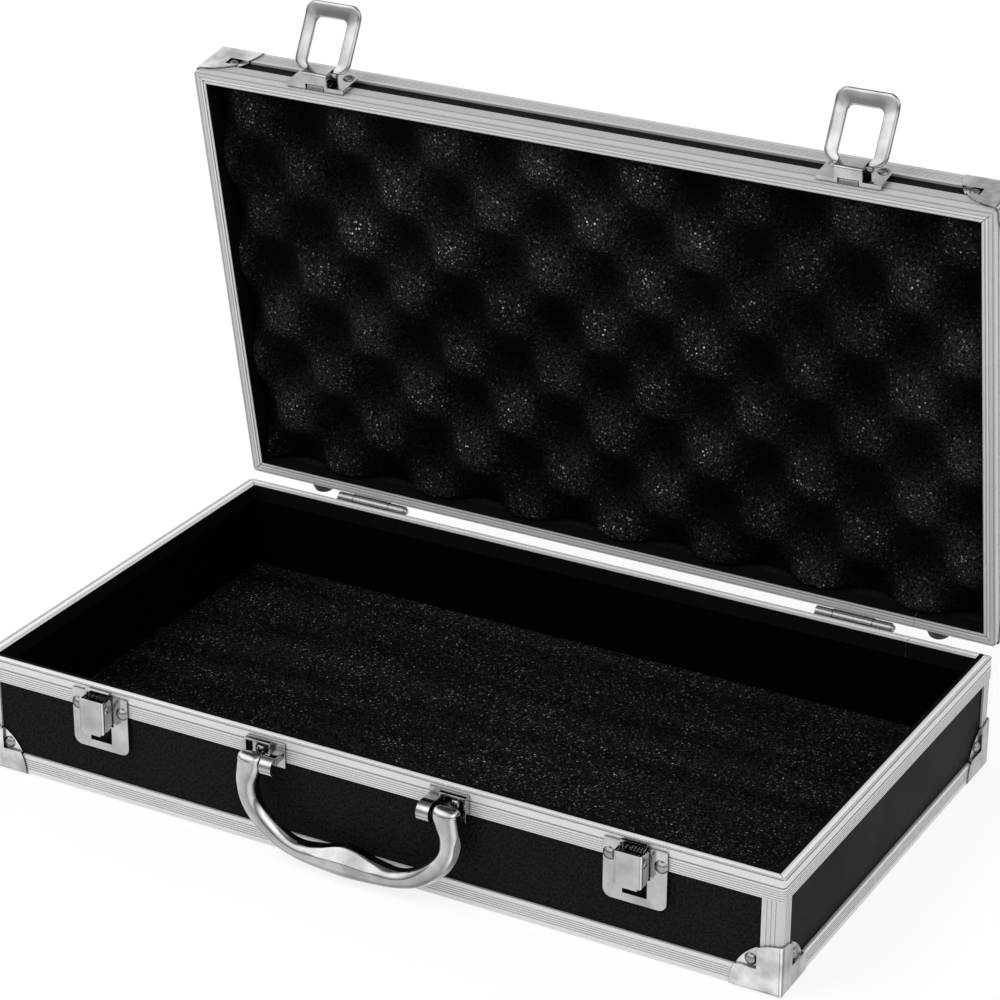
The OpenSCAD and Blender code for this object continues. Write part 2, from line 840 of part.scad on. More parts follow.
// Box lever bent from sheet, open at its top, with a hook under its lower edge
module latch_lever() {
  back = plate_t + seat + 0.25;
  inner = lever_out - lever_t;
  deep = lever_out - back;
  difference() {
    union() {
      intersection() {
        translate([0, back + deep / 2, 0]) linear_extrude(lever_z1) difference() {
          union() {
            translate([0, -deep / 4]) square([lever_w, deep / 2], center = true);
            round_rect(lever_w, deep, lever_bend);
          }
          translate([0, -lever_t]) round_rect(lever_w - 2 * lever_t, deep, lever_bend - lever_t);
        }
        slab_x(-lever_w, lever_w) polygon([
          [back - 1, lever_z0 + 4.2], [inner - 2, lever_z0], [lever_out + 1, lever_z0],
          [lever_out + 1, lever_z1], [back + 1.25, lever_z1], [back - 1, lever_z1 - 1.8]
        ]);
        slab_y(0, 2 * lever_out) plate_outline(lever_w, lever_z0, lever_z1, 1.5, 0.4);
      }
      slab_y(inner, lever_out) translate([-hook_w, hook_z]) square([2 * hook_w, 2]);
      block(-lever_w / 2 + 1.5, lever_w / 2 - 1.5, inner - 1.5, inner + 0.1,
        lever_z0 + 0.05, lever_z0 + 0.05 + lever_t);
    }
    rod_x(-9, 9, lever_pivot_out, lever_pivot_z, lever_pin_r + pin_play);
  }
}

module latch_lever_left() {
  color(bright) in_base() on_front(-latch_x) latch_lever();
}

module latch_lever_right() {
  color(bright) in_base() on_front(latch_x) latch_lever();
}

module latch_pins() {
  head_x = lever_w / 2 + seat;
  color(steel) in_base() for (sx = [-1, 1]) {
    on_front(sx * latch_x) {
      rod_x(-head_x - 0.1, head_x + 0.1, lever_pivot_out, lever_pivot_z, lever_pin_r);
      for (s = [-1, 1]) {
        translate([s * head_x, lever_pivot_out, lever_pivot_z]) rotate([0, s * 90, 0]) {
          rivet(2.3, 0.8, lever_pin_r, 0.1);
        }
      }
    }
  }
}

// Wire swept along a path that never runs along X
module wire(path, r, sides) {
  last = len(path) - 1;
  function along(i) = path[min(i + 1, last)] - path[max(i - 1, 0)];
  function unit(v) = v / norm(v);
  function across(i) = unit(cross(along(i), [1, 0, 0]));
  function other(i) = unit(cross(along(i), across(i)));
  function at(i, a) = path[i] + r * cos(a) * across(i) + r * sin(a) * other(i);
  rings = [for (i = [0 : last]) for (k = [0 : sides - 1]) at(i, k * 360 / sides)];
  body = [for (i = [0 : last - 1]) for (k = [0 : sides - 1]) for (h = [0, 1])
    let (a = i * sides + k, b = i * sides + (k + 1) % sides)
    h == 0 ? [a, b, b + sides] : [a, b + sides, a + sides]];
  cap_a = [for (k = [1 : sides - 2]) [0, k + 1, k]];
  cap_b = [for (k = [1 : sides - 2]) [last * sides, last * sides + k, last * sides + k + 1]];
  polyhedron(points = rings, faces = concat(body, cap_a, cap_b));
}

module latch_spring() {
  coil_r = lever_pin_r + 0.6;
  turns = 4.25;
  steps = 51;
  half = 3;
  leg_a = [
    [-half, plate_t + 0.55, lever_pivot_z - 6],
    [-half, lever_pivot_out - coil_r, lever_pivot_z - 1.2]
  ];
  coil = [for (i = [0 : steps]) let (t = i / steps * turns * 360)
    [-half + 2 * half * i / steps, lever_pivot_out - coil_r * cos(t), lever_pivot_z + coil_r * sin(t)]];
  leg_b = [[half, lever_out - lever_t - 0.4, lever_pivot_z + coil_r + 0.1]];
  wire(concat(leg_a, coil, leg_b), 0.3, 6);
}

module latch_spring_left() {
  color(steel) in_base() on_front(-latch_x) latch_spring();
}

module latch_spring_right() {
  color(steel) in_base() on_front(latch_x) latch_spring();
}

module latch_rivets() {
  color(steel) in_base() for (sx = [-1, 1]) {
    on_front(sx * latch_x) {
      for (s = [-1, 1]) {
        wall_rivet(s * latch_rivet_x, plate_t + seat, latch_rivet_z, latch_rivet_r, latch_rivet_h,
          prot_shank_r);
      }
    }
  }
}

// Handle and its brackets, the strap on the side towards the middle of the case (-X here)

module strap_outline(r) {
  translate([seat, handle_z - r]) square([handle_out - seat, 2 * r]);
  translate([handle_out, handle_z]) circle(r);
}

module handle_bracket() {
  back = bracket_t + seat;
  difference() {
    union() {
      block(-dish_w - strap_w, dish_w, seat, back, dish_z0, dish_z1);
      difference() {
        block(-dish_w, dish_w, seat, dish_d, dish_z0, dish_z1);
        block(-dish_w + bracket_t, dish_w - bracket_t, back, dish_d + 1,
          dish_z0 + bracket_t, dish_z1 - bracket_t);
      }
      difference() {
        slab_x(-dish_w - strap_w, -dish_w) strap_outline(strap_r);
        slab_x(-dish_w - strap_w - 1, -dish_w - bracket_t) difference() {
          union() {
            strap_outline(strap_r - 1);
            translate([0, handle_z - strap_r - 1]) square([handle_out + 1, strap_r + 1]);
          }
          translate([-1, 0]) square([1 + back, 100]);
        }
      }
    }
    rod_x(-dish_w - 3, -dish_w + 1, handle_out, handle_z, handle_pin_r + pin_play);
    rod_y(-1, 3, 0, screw_z, prot_shank_r + seat);
  }
}

module handle_bracket_left() {
  color(bright) in_base() on_front(-bracket_x) mirror([1, 0, 0]) handle_bracket();
}

module handle_bracket_right() {
  color(bright) in_base() on_front(bracket_x) handle_bracket();
}

module handle_screws() {
  head_y = bracket_t + seat;
  color(steel) in_base() for (sx = [-1, 1]) {
    on_front(sx * bracket_x) difference() {
      wall_rivet(0, head_y, screw_z, 2.6, 1.6, prot_shank_r);
      block(-1.6, 1.6, head_y + 0.7, 5, screw_z - 0.3, screw_z + 0.3);
      block(-0.3, 0.3, head_y + 0.7, 5, screw_z - 1.6, screw_z + 1.6);
    }
  }
}

module handle_pins() {
  color(steel) in_base() for (sx = [-1, 1]) {
    on_front(sx * bracket_x) mirror([sx < 0 ? 1 : 0, 0, 0]) {
      rod_x(-dish_w - bracket_t - 0.1, dish_w - 2.5, handle_out, handle_z, handle_pin_r);
      rod_x(-dish_w - bracket_t - 1.6, -dish_w - bracket_t - seat, handle_out, handle_z,
        handle_pin_r + 0.9);
    }
  }
}

// Shape of the handle from one boss to the middle, as shares of the bosses' distance from the middle,
// of the handle's drop, and of the legs' width and thickness
handle_shape = [
  [1, 0, 1.326, 1.02],
  [1.03, 0.11, 1.2, 1.01],
  [1.05, 0.27, 1.05, 1],
  [1.01, 0.48, 1.01, 1],
  [0.91, 0.7, 1, 1],
  [0.72, 0.9, 0.98, 1.02],
  [0.51, 0.995, 0.93, 1.1],
  [0.27, 1, 1.2, 1.36],
  [0, 0.97, grip_w / leg_w, grip_t / leg_t]
];
handle_half = [
  for (s = handle_shape) [bracket_x * s[0], handle_z - (handle_z - grip_z) * s[1], leg_w * s[2], leg_t * s[3]]
];
handle_mirror = [
  for (i = [len(handle_half) - 2 : -1 : 0]) let (h = handle_half[i]) [-h[0], h[1], h[2], h[3]]
];
handle_path = concat(handle_half, handle_mirror);

// Smooth run from b to c, with a and d as the neighbours on either side
function blend(a, b, c, d, t) =
  b + (c - a) * t / 2 + (2 * a - 5 * b + 4 * c - d) * t * t / 2 + (3 * b - a - 3 * c + d) * t * t * t / 2;

module handle_sweep() {
  sides = 20;
  sub = 3;
  last = len(handle_path) - 1;
  function st(i) = handle_path[max(0, min(last, i))];
  stations = [
    for (i = [0 : last - 1]) for (k = [0 : sub - 1]) blend(st(i - 1), st(i), st(i + 1), st(i + 2), k / sub)
  ];
  ring_list = concat(stations, [st(last)]);
  rings = len(ring_list);
  function along(i) = i == 0 ? [0, -1] : i == rings - 1 ? [0, 1]
    : let (d = ring_list[i + 1] - ring_list[i - 1]) [d[0], d[1]] / norm([d[0], d[1]]);
  function power(v, e) = sign(v) * pow(abs(v), e);
  function point(i, a) =
    let (t = along(i), s = ring_list[i])
    let (c = s[2] / 2 * power(cos(a), 0.75), q = s[3] / 2 * power(sin(a), 0.75))
    [s[0] - t[1] * c, handle_out + q, s[1] + t[0] * c];
  points = [for (i = [0 : rings - 1]) for (k = [0 : sides - 1]) point(i, k * 360 / sides)];
  body = [for (i = [0 : rings - 2]) for (k = [0 : sides - 1]) for (h = [0, 1])
    let (a = i * sides + k, b = i * sides + (k + 1) % sides)
    h == 0 ? [a, b, b + sides] : [a, b + sides, a + sides]];
  cap_a = [for (k = [1 : sides - 2]) [0, k + 1, k]];
  end = (rings - 1) * sides;
  cap_b = [for (k = [1 : sides - 2]) [end, end + k, end + k + 1]];
  polyhedron(points = points, faces = concat(body, cap_a, cap_b));
}

// Boss along X with rounded rims, middle at the origin
module handle_boss() {
  rotate([0, 90, 0]) rotate_extrude() {
    translate([0, -boss_x0]) square([boss_r - boss_edge, 2 * boss_x0]);
    translate([0, -boss_x0 + boss_edge]) square([boss_r, 2 * (boss_x0 - boss_edge)]);
    for (s = [-1, 1]) {
      translate([boss_r - boss_edge, s * (boss_x0 - boss_edge)]) circle(boss_edge);
    }
  }
}

module handle() {
  color(bright) in_base() on_front(0) difference() {
    union() {
      handle_sweep();
      for (s = [-1, 1]) {
        translate([s * bracket_x, handle_out, handle_z]) handle_boss();
      }
    }
    for (s = [-1, 1]) {
      mirror([s < 0 ? 1 : 0, 0, 0]) {
        rod_x(bracket_x - dish_w - 1, bracket_x + dish_w - 2.3, handle_out, handle_z,
          handle_pin_r + pin_play);
      }
    }
  }
}

// Hinges, drawn from the left end of a hinge, side -1 for the base leaf and 1 for the lid leaf

module leaf(side) {
  b0 = knuckle_a;
  b1 = knuckle_a + knuckle_b;
  g = knuckle_gap / 2;
  function low_z(reach) = side < 0 ? hinge_z - reach : hinge_z;
  function high_z(reach) = side < 0 ? hinge_z : hinge_z + reach;
  spans = side < 0 ? [[0, b0 - g], [b1 + g, hinge_w]] : [[b0 + g, b1 - g]];
  cuts = side < 0 ? [[b0 - g, b1 + g]] : [[-1, b0 + g], [b1 - g, hinge_w + 1]];
  difference() {
    union() {
      block(0, hinge_w, seat, seat + leaf_t, low_z(leaf_h), high_z(leaf_h));
      for (s = spans) {
        rod_x(s[0], s[1], axis_out, hinge_z, knuckle_r);
        block(s[0], s[1], seat, axis_out, low_z(knuckle_r), high_z(knuckle_r));
      }
    }
    for (c = cuts) {
      block(c[0], c[1], -1, 9, hinge_z - leaf_clear, hinge_z + leaf_clear);
    }
    rod_x(-1, hinge_w + 1, axis_out, hinge_z, pin_r + pin_play);
    for (k = [-1, 0, 1]) {
      rod_y(-1, 3, hinge_w / 2 + k * hinge_w / 3, hinge_z + side * leaf_rivet_z, pin_r + seat);
    }
  }
}

module hinge_base_leaf_left() {
  color(steel) in_base() on_back(-hinge_x - hinge_w / 2) leaf(-1);
}

module hinge_base_leaf_right() {
  color(steel) in_base() on_back(hinge_x - hinge_w / 2) leaf(-1);
}

module hinge_lid_leaf_left() {
  color(steel) in_lid() on_back(-hinge_x - hinge_w / 2) leaf(1);
}

module hinge_lid_leaf_right() {
  color(steel) in_lid() on_back(hinge_x - hinge_w / 2) leaf(1);
}

module hinge_pins() {
  color(steel) in_base() for (sx = [-1, 1]) {
    on_back(sx * hinge_x - hinge_w / 2) {
      rod_x(0, hinge_w + 0.2, axis_out, hinge_z, pin_r);
      translate([hinge_w + seat, axis_out, hinge_z]) rotate([0, 90, 0]) rivet(2, 1.6, pin_r, 0.1);
    }
  }
}

module leaf_rivets(side) {
  for (sx = [-1, 1]) {
    for (k = [-1, 0, 1]) {
      on_back(sx * hinge_x) {
        wall_rivet(k * hinge_w / 3, leaf_t + seat, hinge_z + side * leaf_rivet_z, leaf_rivet_r, 0.9, pin_r);
      }
    }
  }
}

module hinge_base_rivets() {
  color(steel) in_base() leaf_rivets(-1);
}

module hinge_lid_rivets() {
  color(steel) in_lid() leaf_rivets(1);
}

// Lid half

module lid_top_panel() {
  color(black) in_lid_shell() case_block(wall_o0, board_z0, board_z1, wall_r);
}

module lid_front_panel() {
  color(black) in_lid() difference() {
    translate([0, 0, total_h]) mirror([0, 0, 1]) difference() {
      wall_x(-1, lid_h);
      protector_holes(lid_rivet_z);
    }
    hasp_holes();
  }
}

module lid_back_panel() {
  color(black) in_lid() difference() {
    translate([0, 0, total_h]) mirror([0, 0, 1]) difference() {
      wall_x(1, lid_h);
      protector_holes(lid_rivet_z);
    }
    leaf_holes(1);
  }
}

module lid_left_panel() {
  color(black) in_lid_shell() difference() {
    wall_y(-1, lid_h);
    protector_holes(lid_rivet_z);
  }
}

module lid_right_panel() {
  color(black) in_lid_shell() difference() {
    wall_y(1, lid_h);
    protector_holes(lid_rivet_z);
  }
}

module lid_rim() {
  color(alu) in_lid() difference() {
    translate([0, 0, total_h]) mirror([0, 0, 1]) rim(lid_h, lid_band, lid_bead);
    leaf_holes(1);
  }
}

module lid_rail_front() {
  color(alu) in_lid_shell() rail_x(-1, lid_rail);
}

module lid_rail_back() {
  color(alu) in_lid_shell() rail_x(1, lid_rail);
}

module lid_rail_left() {
  color(alu) in_lid_shell() rail_y(-1, lid_rail);
}

module lid_rail_right() {
  color(alu) in_lid_shell() rail_y(1, lid_rail);
}

module lid_posts() {
  color(alu) in_lid_shell() for (sx = [-1, 1]) {
    for (sy = [-1, 1]) {
      at_corner(sx, sy) post(lid_h - lid_band);
    }
  }
}

module lid_protectors_front() {
  color(bright) in_lid_shell() for (sx = [-1, 1]) {
    at_corner(sx, -1) protector(lid_rail, lid_h - lid_band, lid_rivet_z);
  }
}

module lid_protectors_back() {
  color(bright) in_lid_shell() for (sx = [-1, 1]) {
    at_corner(sx, 1) protector(lid_rail, lid_h - lid_band, lid_rivet_z);
  }
}

module lid_protector_rivets() {
  color(steel) in_lid_shell() protector_rivets(lid_rivet_z, lid_rivet_r);
}

// Egg-crate pad: a grid of heights over a flat back
module lid_foam() {
  nx = 38;
  ny = 25;
  pad_w = case_w - 2 * (rim_w + soft_gap);
  pad_d = case_d - 2 * (rim_w + soft_gap);
  z0 = wall_z0;
  mean = lid_foam_t - egg_depth / 2;
  function px(i) = -pad_w / 2 + pad_w * i / nx;
  function py(j) = -pad_d / 2 + pad_d * j / ny;
  function wave(x, y) = cos(360 * (x - egg_x) / egg_pitch_x) * cos(180 * (y - egg_y) / egg_pitch_y);
  function bump(w) = sign(w) * pow(abs(w), 0.8);
  function height(x, y) = z0 + mean + egg_depth / 2 * bump(wave(x, y));
  top = [for (j = [0 : ny]) for (i = [0 : nx]) [px(i), py(j), height(px(i), py(j))]];
  edge = concat(
    [for (i = [0 : nx - 1]) [i, 0]],
    [for (j = [0 : ny - 1]) [nx, j]],
    [for (i = [nx : -1 : 1]) [i, ny]],
    [for (j = [ny : -1 : 1]) [0, j]]
  );
  n_edge = len(edge);
  base = len(top);
  bottom = [for (e = edge) [px(e[0]), py(e[1]), z0]];
  function top_id(e) = e[1] * (nx + 1) + e[0];
  faces_top = [for (j = [0 : ny - 1]) for (i = [0 : nx - 1]) for (h = [0, 1])
    let (a = j * (nx + 1) + i, b = a + 1, c = a + nx + 1, d = c + 1)
    h == 0 ? [a, c, d] : [a, d, b]];
  faces_side = [for (k = [0 : n_edge - 1]) for (h = [0, 1])
    let (m = (k + 1) % n_edge, a = top_id(edge[k]), b = top_id(edge[m]), c = base + k, d = base + m)
    h == 0 ? [a, b, d] : [a, d, c]];
  faces_bottom = [for (k = [0 : n_edge - 1]) [base + n_edge, base + k, base + (k + 1) % n_edge]];
  points = concat(top, bottom, [[0, 0, z0]]);
  color(foam) in_lid_shell() polyhedron(points = points, faces = concat(faces_top, faces_side, faces_bottom));
}

module lid_rear_feet() {
  color(black) in_lid_shell() for (sx = [-1, 1]) {
    on_back(sx * foot_x) translate([0, seat, lid_foot_z]) rotate([-90, 0, 0]) foot(foot_out - seat);
  }
}

// Hasps, drawn shut

module hasp_plate() {
  wall = 1;
  roof = bar_out + 0.7;
  housing_z0 = hasp_z0 + 0.9;
  housing_top = housing_z1 - 0.9;
  difference() {
    union() {
      difference() {
        slab_y(seat, hasp_out) plate_outline(hasp_w, hasp_z0, hasp_z1, 0.5, hasp_r);
        slab_y(-1, hasp_out - wall) {
          plate_outline(hasp_w - 2 * wall, hasp_z0 + wall, hasp_z1 - wall, 0.3, hasp_r - wall);
        }
      }
      slab_x(-housing_w, housing_w) {
        translate([hasp_out - wall, hasp_z0]) {
          square([housing_out - 1.5 - hasp_out + wall, housing_z1 - hasp_z0]);
        }
        translate([hasp_out, hasp_z0 + 1.5]) square([housing_out - hasp_out, housing_z1 - hasp_z0 - 3]);
        for (z = [hasp_z0 + 1.5, housing_z1 - 1.5]) {
          translate([housing_out - 1.5, z]) circle(1.5);
        }
      }
    }
    slab_x(-housing_w - 1, housing_w + 1) {
      translate([hasp_out, housing_z0]) square([roof - hasp_out, housing_top - housing_z0]);
      translate([bar_out, bar_z]) circle(bar_r + pin_play);
    }
    block(-spring_w - 0.5, spring_w + 0.5, -1, hasp_out + 0.5, hasp_z0 - 1, housing_top);
    for (s = [-1, 1]) {
      wall_rivet_hole(s * hasp_rivet_x, hasp_rivet_z, prot_shank_r);
    }
  }
}

module hasp_plate_left() {
  color(bright) in_lid() on_front(-latch_x) hasp_plate();
}

module hasp_plate_right() {
  color(bright) in_lid() on_front(latch_x) hasp_plate();
}

module hasp_spring() {
  foot_z = hasp_z0 + 0.1;
  reach = bar_z - foot_z;
  top = bar_out - bar_r - seat;
  drop = top - 0.5;
  arc = (reach * reach + drop * drop) / (2 * drop);
  slab_x(-spring_w, spring_w) intersection() {
    translate([top - arc, bar_z]) difference() {
      circle(arc);
      circle(arc - spring_t);
    }
    translate([0.05, foot_z]) square([8, housing_z1 - 0.95 - foot_z]);
  }
}

module hasp_springs() {
  color(steel) in_lid() for (sx = [-1, 1]) {
    on_front(sx * latch_x) hasp_spring();
  }
}

// Flat loop in the XZ plane, bar at the origin, free edge towards -Z
module loop_outline() {
  neck = housing_w + 0.35;
  shoulder_r = loop_w / 2 - loop_bar_x;
  shoulder_z = shoulder_r + 0.6;
  inner_x = loop_gap / 2 - loop_gap_r;
  difference() {
    union() {
      translate([-loop_w / 2, -loop_l + loop_r]) square([loop_w, loop_l - loop_r - shoulder_z]);
      translate([-loop_w / 2 + loop_r, -loop_l]) square([loop_w - 2 * loop_r, loop_r + 1]);
      translate([-loop_bar_x, -shoulder_z - 1]) square([2 * loop_bar_x, shoulder_z + 1]);
      for (s = [-1, 1]) {
        translate([s * (loop_w / 2 - loop_r), -loop_l + loop_r]) circle(loop_r);
        translate([s * loop_bar_x, -shoulder_z]) circle(shoulder_r);
      }
    }
    translate([-loop_gap / 2, -crossbar_v + loop_gap_r]) {
      square([loop_gap, crossbar_v - loop_gap_r - 5]);
    }
    translate([-inner_x, -crossbar_v]) square([2 * inner_x, loop_gap_r + 1]);
    for (s = [-1, 1]) {
      translate([s * inner_x, -crossbar_v + loop_gap_r]) circle(loop_gap_r);
    }
    polygon([
      [-loop_gap / 2, -5.01],
      [loop_gap / 2, -5.01],
      [loop_gap / 2, -5],
      [neck, -3],
      [neck, 1],
      [-neck, 1],
      [-neck, -3],
      [-loop_gap / 2, -5]
    ]);
  }
}

// The same loop seen from its side: straight down to the crossbar, which is bent towards the wall
module loop_side() {
  half_t = loop_t / 2;
  mitre = half_t * tan(crossbar_bend / 2);
  along = loop_l - crossbar_v + 2;
  end_y = -along * sin(crossbar_bend);
  end_z = -crossbar_v - along * cos(crossbar_bend);
  off_y = half_t * cos(crossbar_bend);
  off_z = half_t * sin(crossbar_bend);
  polygon([
    [-half_t, 2],
    [-half_t, -crossbar_v + mitre],
    [end_y - off_y, end_z + off_z],
    [end_y + off_y, end_z - off_z],
    [half_t, -crossbar_v - mitre],
    [half_t, 2]
  ]);
}

module hasp_loop() {
  translate([0, bar_out, bar_z]) rotate([loop_angle, 0, 0]) {
    intersection() {
      slab_y(-5, 5) loop_outline();
      slab_x(-loop_w, loop_w) loop_side();
    }
    rod_x(-loop_bar_x, loop_bar_x, 0, 0, bar_r);
  }
}

module hasp_loop_left() {
  color(bright) in_lid() on_front(-latch_x) hasp_loop();
}

module hasp_loop_right() {
  color(bright) in_lid() on_front(latch_x) hasp_loop();
}

module hasp_rivets() {
  color(steel) in_lid() for (sx = [-1, 1]) {
    on_front(sx * latch_x) {
      for (s = [-1, 1]) {
        wall_rivet(s * hasp_rivet_x, hasp_out, hasp_rivet_z, hasp_rivet_r, 1.5, prot_shank_r);
      }
    }
  }
}

base_bottom_panel();
base_front_panel();
base_back_panel();
base_left_panel();
base_right_panel();
base_rim();
base_rail_front();
base_rail_back();
base_rail_left();
base_rail_right();
base_posts_front();
base_posts_back();
base_protectors_front();
base_protectors_back();
base_protector_rivets();
base_lining();
base_floor_foam();
base_rear_feet();
latch_plate_left();
latch_plate_right();
latch_lever_left();
latch_lever_right();
latch_pins();
latch_spring_left();
latch_spring_right();
latch_rivets();
handle_bracket_left();
handle_bracket_right();
handle_screws();
handle_pins();
handle();
hinge_base_leaf_left();
hinge_base_leaf_right();
hinge_lid_leaf_left();
hinge_lid_leaf_right();
hinge_pins();
hinge_base_rivets();
hinge_lid_rivets();
lid_top_panel();
lid_front_panel();
lid_back_panel();
lid_left_panel();
lid_right_panel();
lid_rim();
lid_rail_front();
lid_rail_back();
lid_rail_left();
lid_rail_right();
lid_posts();
lid_protectors_front();
lid_protectors_back();
lid_protector_rivets();
lid_foam();
lid_rear_feet();
hasp_plate_left();
hasp_plate_right();
hasp_loop_left();
hasp_loop_right();
hasp_rivets();
hasp_springs();
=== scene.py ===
import json
import math
import bpy
import bmesh
from mathutils import Matrix, Vector

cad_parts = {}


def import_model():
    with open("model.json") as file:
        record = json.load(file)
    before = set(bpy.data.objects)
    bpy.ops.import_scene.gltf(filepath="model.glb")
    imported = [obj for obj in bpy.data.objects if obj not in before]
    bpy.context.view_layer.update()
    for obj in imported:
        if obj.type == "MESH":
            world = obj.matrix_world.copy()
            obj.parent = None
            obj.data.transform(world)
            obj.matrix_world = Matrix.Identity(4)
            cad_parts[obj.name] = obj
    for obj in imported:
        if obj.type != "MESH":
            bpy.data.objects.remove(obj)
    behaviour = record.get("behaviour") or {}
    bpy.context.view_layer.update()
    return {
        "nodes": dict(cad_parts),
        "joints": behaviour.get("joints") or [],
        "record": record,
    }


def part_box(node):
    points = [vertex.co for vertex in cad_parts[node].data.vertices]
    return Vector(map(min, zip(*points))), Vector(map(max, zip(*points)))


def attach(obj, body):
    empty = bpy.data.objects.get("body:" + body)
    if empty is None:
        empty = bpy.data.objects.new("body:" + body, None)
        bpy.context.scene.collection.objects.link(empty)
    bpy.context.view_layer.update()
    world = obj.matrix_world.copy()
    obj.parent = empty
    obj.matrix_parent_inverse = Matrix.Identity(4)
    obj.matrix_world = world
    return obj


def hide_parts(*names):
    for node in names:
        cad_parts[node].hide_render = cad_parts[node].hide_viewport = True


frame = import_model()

NODES = frame["nodes"]
JOINTS = {j["name"]: j for j in frame["joints"]}
MM = 0.001

# Sizes shared by the pieces below, in millimetres of the closed case unless named otherwise
CASE_W = 400.0
CASE_D = 224.6
HALF_D = CASE_D / 2
BASE_H = 55.3
SEAM = 0.3
LID_H = 27.0
RIM_W = 6.0
TOTAL_H = BASE_H + SEAM + LID_H
OPEN = math.radians(79.6)
AXIS_OUT = 3.3
HINGE = Vector(JOINTS["lid_hinge"]["pos_m"])
CASE_Y = HINGE.y / MM - HALF_D - AXIS_OUT


def base_place():
    """Millimetres in the closed case's frame to metres in the row frame."""
    return Matrix.Translation((0, CASE_Y * MM, 0)) @ Matrix.Scale(MM, 4)


def lid_place():
    """The same for what is carried by the lid, which stands open."""
    turn = Matrix.Translation(HINGE) @ Matrix.Rotation(-OPEN, 4, "X") @ Matrix.Translation(-HINGE)
    return turn @ base_place()


# ---------------------------------------------------------------- materials


# Sockets of the Mix node in its colour form
MIX_A, MIX_B, MIX_OUT = 6, 7, 2
# Rays for the painted shade in grooves and between parts
CREVICE_SHADE_SAMPLES = 6


def material(name, slot_colour, rough, metallic=0.0):
    """A new material, its nodes, its links and its shader."""
    m = bpy.data.materials.new(name)
    m.use_nodes = True
    b = m.node_tree.nodes["Principled BSDF"]
    b.inputs["Base Color"].default_value = (*slot_colour, 1)
    b.inputs["Roughness"].default_value = rough
    b.inputs["Metallic"].default_value = metallic
    return m, m.node_tree.nodes, m.node_tree.links, b


def add(nodes, kind, **settings):
    """A new node of a kind with its settings."""
    n = nodes.new(kind)
    for key, value in settings.items():
        setattr(n, key, value)
    return n


def coords(nodes, links, scale=(1, 1, 1)):
    """Object coordinates in millimetres, stretched by scale."""
    tc = add(nodes, "ShaderNodeTexCoord")
    mp = add(nodes, "ShaderNodeMapping")
    mp.inputs["Scale"].default_value = [s / MM for s in scale]
    links.new(tc.outputs["Object"], mp.inputs["Vector"])
    return mp.outputs["Vector"]


def ramp(nodes, links, source, stops):
    """Colour ramp over a value, from pairs of position and colour."""
    r = add(nodes, "ShaderNodeValToRGB")
    while len(r.color_ramp.elements) < len(stops):
        r.color_ramp.elements.new(0.5)
    for e, (pos, col) in zip(r.color_ramp.elements, stops):
        e.position = pos
        e.color = (*col, 1)
    links.new(source, r.inputs["Fac"])
    return r.outputs["Color"]


def grey(v):
    """Grey as a colour of three parts."""
    return (v, v, v)


def noise(nodes, links, vector, scale, detail, roughness=0.5):
    """Even noise, scale in waves per millimetre where the vector is in millimetres."""
    n = add(nodes, "ShaderNodeTexNoise")
    n.inputs["Scale"].default_value = scale
    n.inputs["Detail"].default_value = detail
    n.inputs["Roughness"].default_value = roughness
    links.new(vector, n.inputs["Vector"])
    return n.outputs["Fac"]


def bump(nodes, links, height, strength, distance):
    """Normal bent by a height, distance in millimetres."""
    b = add(nodes, "ShaderNodeBump")
    b.inputs["Strength"].default_value = strength
    b.inputs["Distance"].default_value = distance * MM
    links.new(height, b.inputs["Height"])
    return b.outputs["Normal"]


def maths(nodes, links, op, a, b):
    """Result of an operation on two values, each a number or a socket."""
    n = add(nodes, "ShaderNodeMath", operation=op)
    for i, v in enumerate((a, b)):
        if isinstance(v, (int, float)):
            n.inputs[i].default_value = v
        else:
            links.new(v, n.inputs[i])
    return n.outputs[0]


def times(nodes, links, colour, shade):
    """One colour multiplied by another."""
    mix = add(nodes, "ShaderNodeMix", data_type="RGBA", blend_type="MULTIPLY")
    mix.inputs["Factor"].default_value = 1.0
    links.new(colour, mix.inputs[MIX_A])
    links.new(shade, mix.inputs[MIX_B])
    return mix.outputs[MIX_OUT]


def painted_crevice_shade(nodes, links, colour, reach, dark, start, end):
    """Painted shade: darkens a colour in grooves and where another part lies against it, reach in
    millimetres. At an openness of end it stays, at one of start the share dark of it is left."""
    ao = add(nodes, "ShaderNodeAmbientOcclusion")
    ao.samples = CREVICE_SHADE_SAMPLES
    ao.inputs["Distance"].default_value = reach * MM
    shade = ramp(nodes, links, ao.outputs["AO"], [(start, grey(dark)), (end, grey(1.0))])
    return times(nodes, links, colour, shade)


# Painted reflections of bright plating: a turn of the surface from -1 to 1 along one axis of the part,
# and a share of the plating's own colour. They stand for what a polished surface mirrors.
# Cast handle by the sideways part of its normal: painted dark rims and bright bands
CAST_REFLECTION = [
    (-1.0, 0.3), (-0.86, 0.4), (-0.66, 1.35), (-0.3, 1.05), (0.0, 0.92), (0.28, 0.66), (0.5, 1.35),
    (0.68, 1.25), (0.84, 0.32), (0.95, 0.45), (1.0, 0.85),
]
# Cast handle by the upward part: painted bright top, dull lower facet, bright lower rim
CAST_RISE_REFLECTION = [
    (-1.0, 1.0), (-0.78, 1.25), (-0.62, 0.6), (-0.34, 0.62), (-0.2, 1.0), (0.3, 1.0), (0.55, 1.25),
    (0.8, 1.15), (0.9, 0.35), (0.97, 0.4), (1.0, 1.0),
]
# Sheet metal sideways, with a painted dark line where a flat face turns into its rounded edge
SHEET_REFLECTION = [
    (-1.0, 0.35), (-0.86, 0.9), (-0.6, 1.5), (-0.36, 1.4), (-0.2, 0.3), (-0.06, 1.0), (0.06, 1.0),
    (0.2, 0.3), (0.36, 1.4), (0.6, 1.5), (0.82, 0.35), (0.95, 0.45), (1.0, 0.85),
]
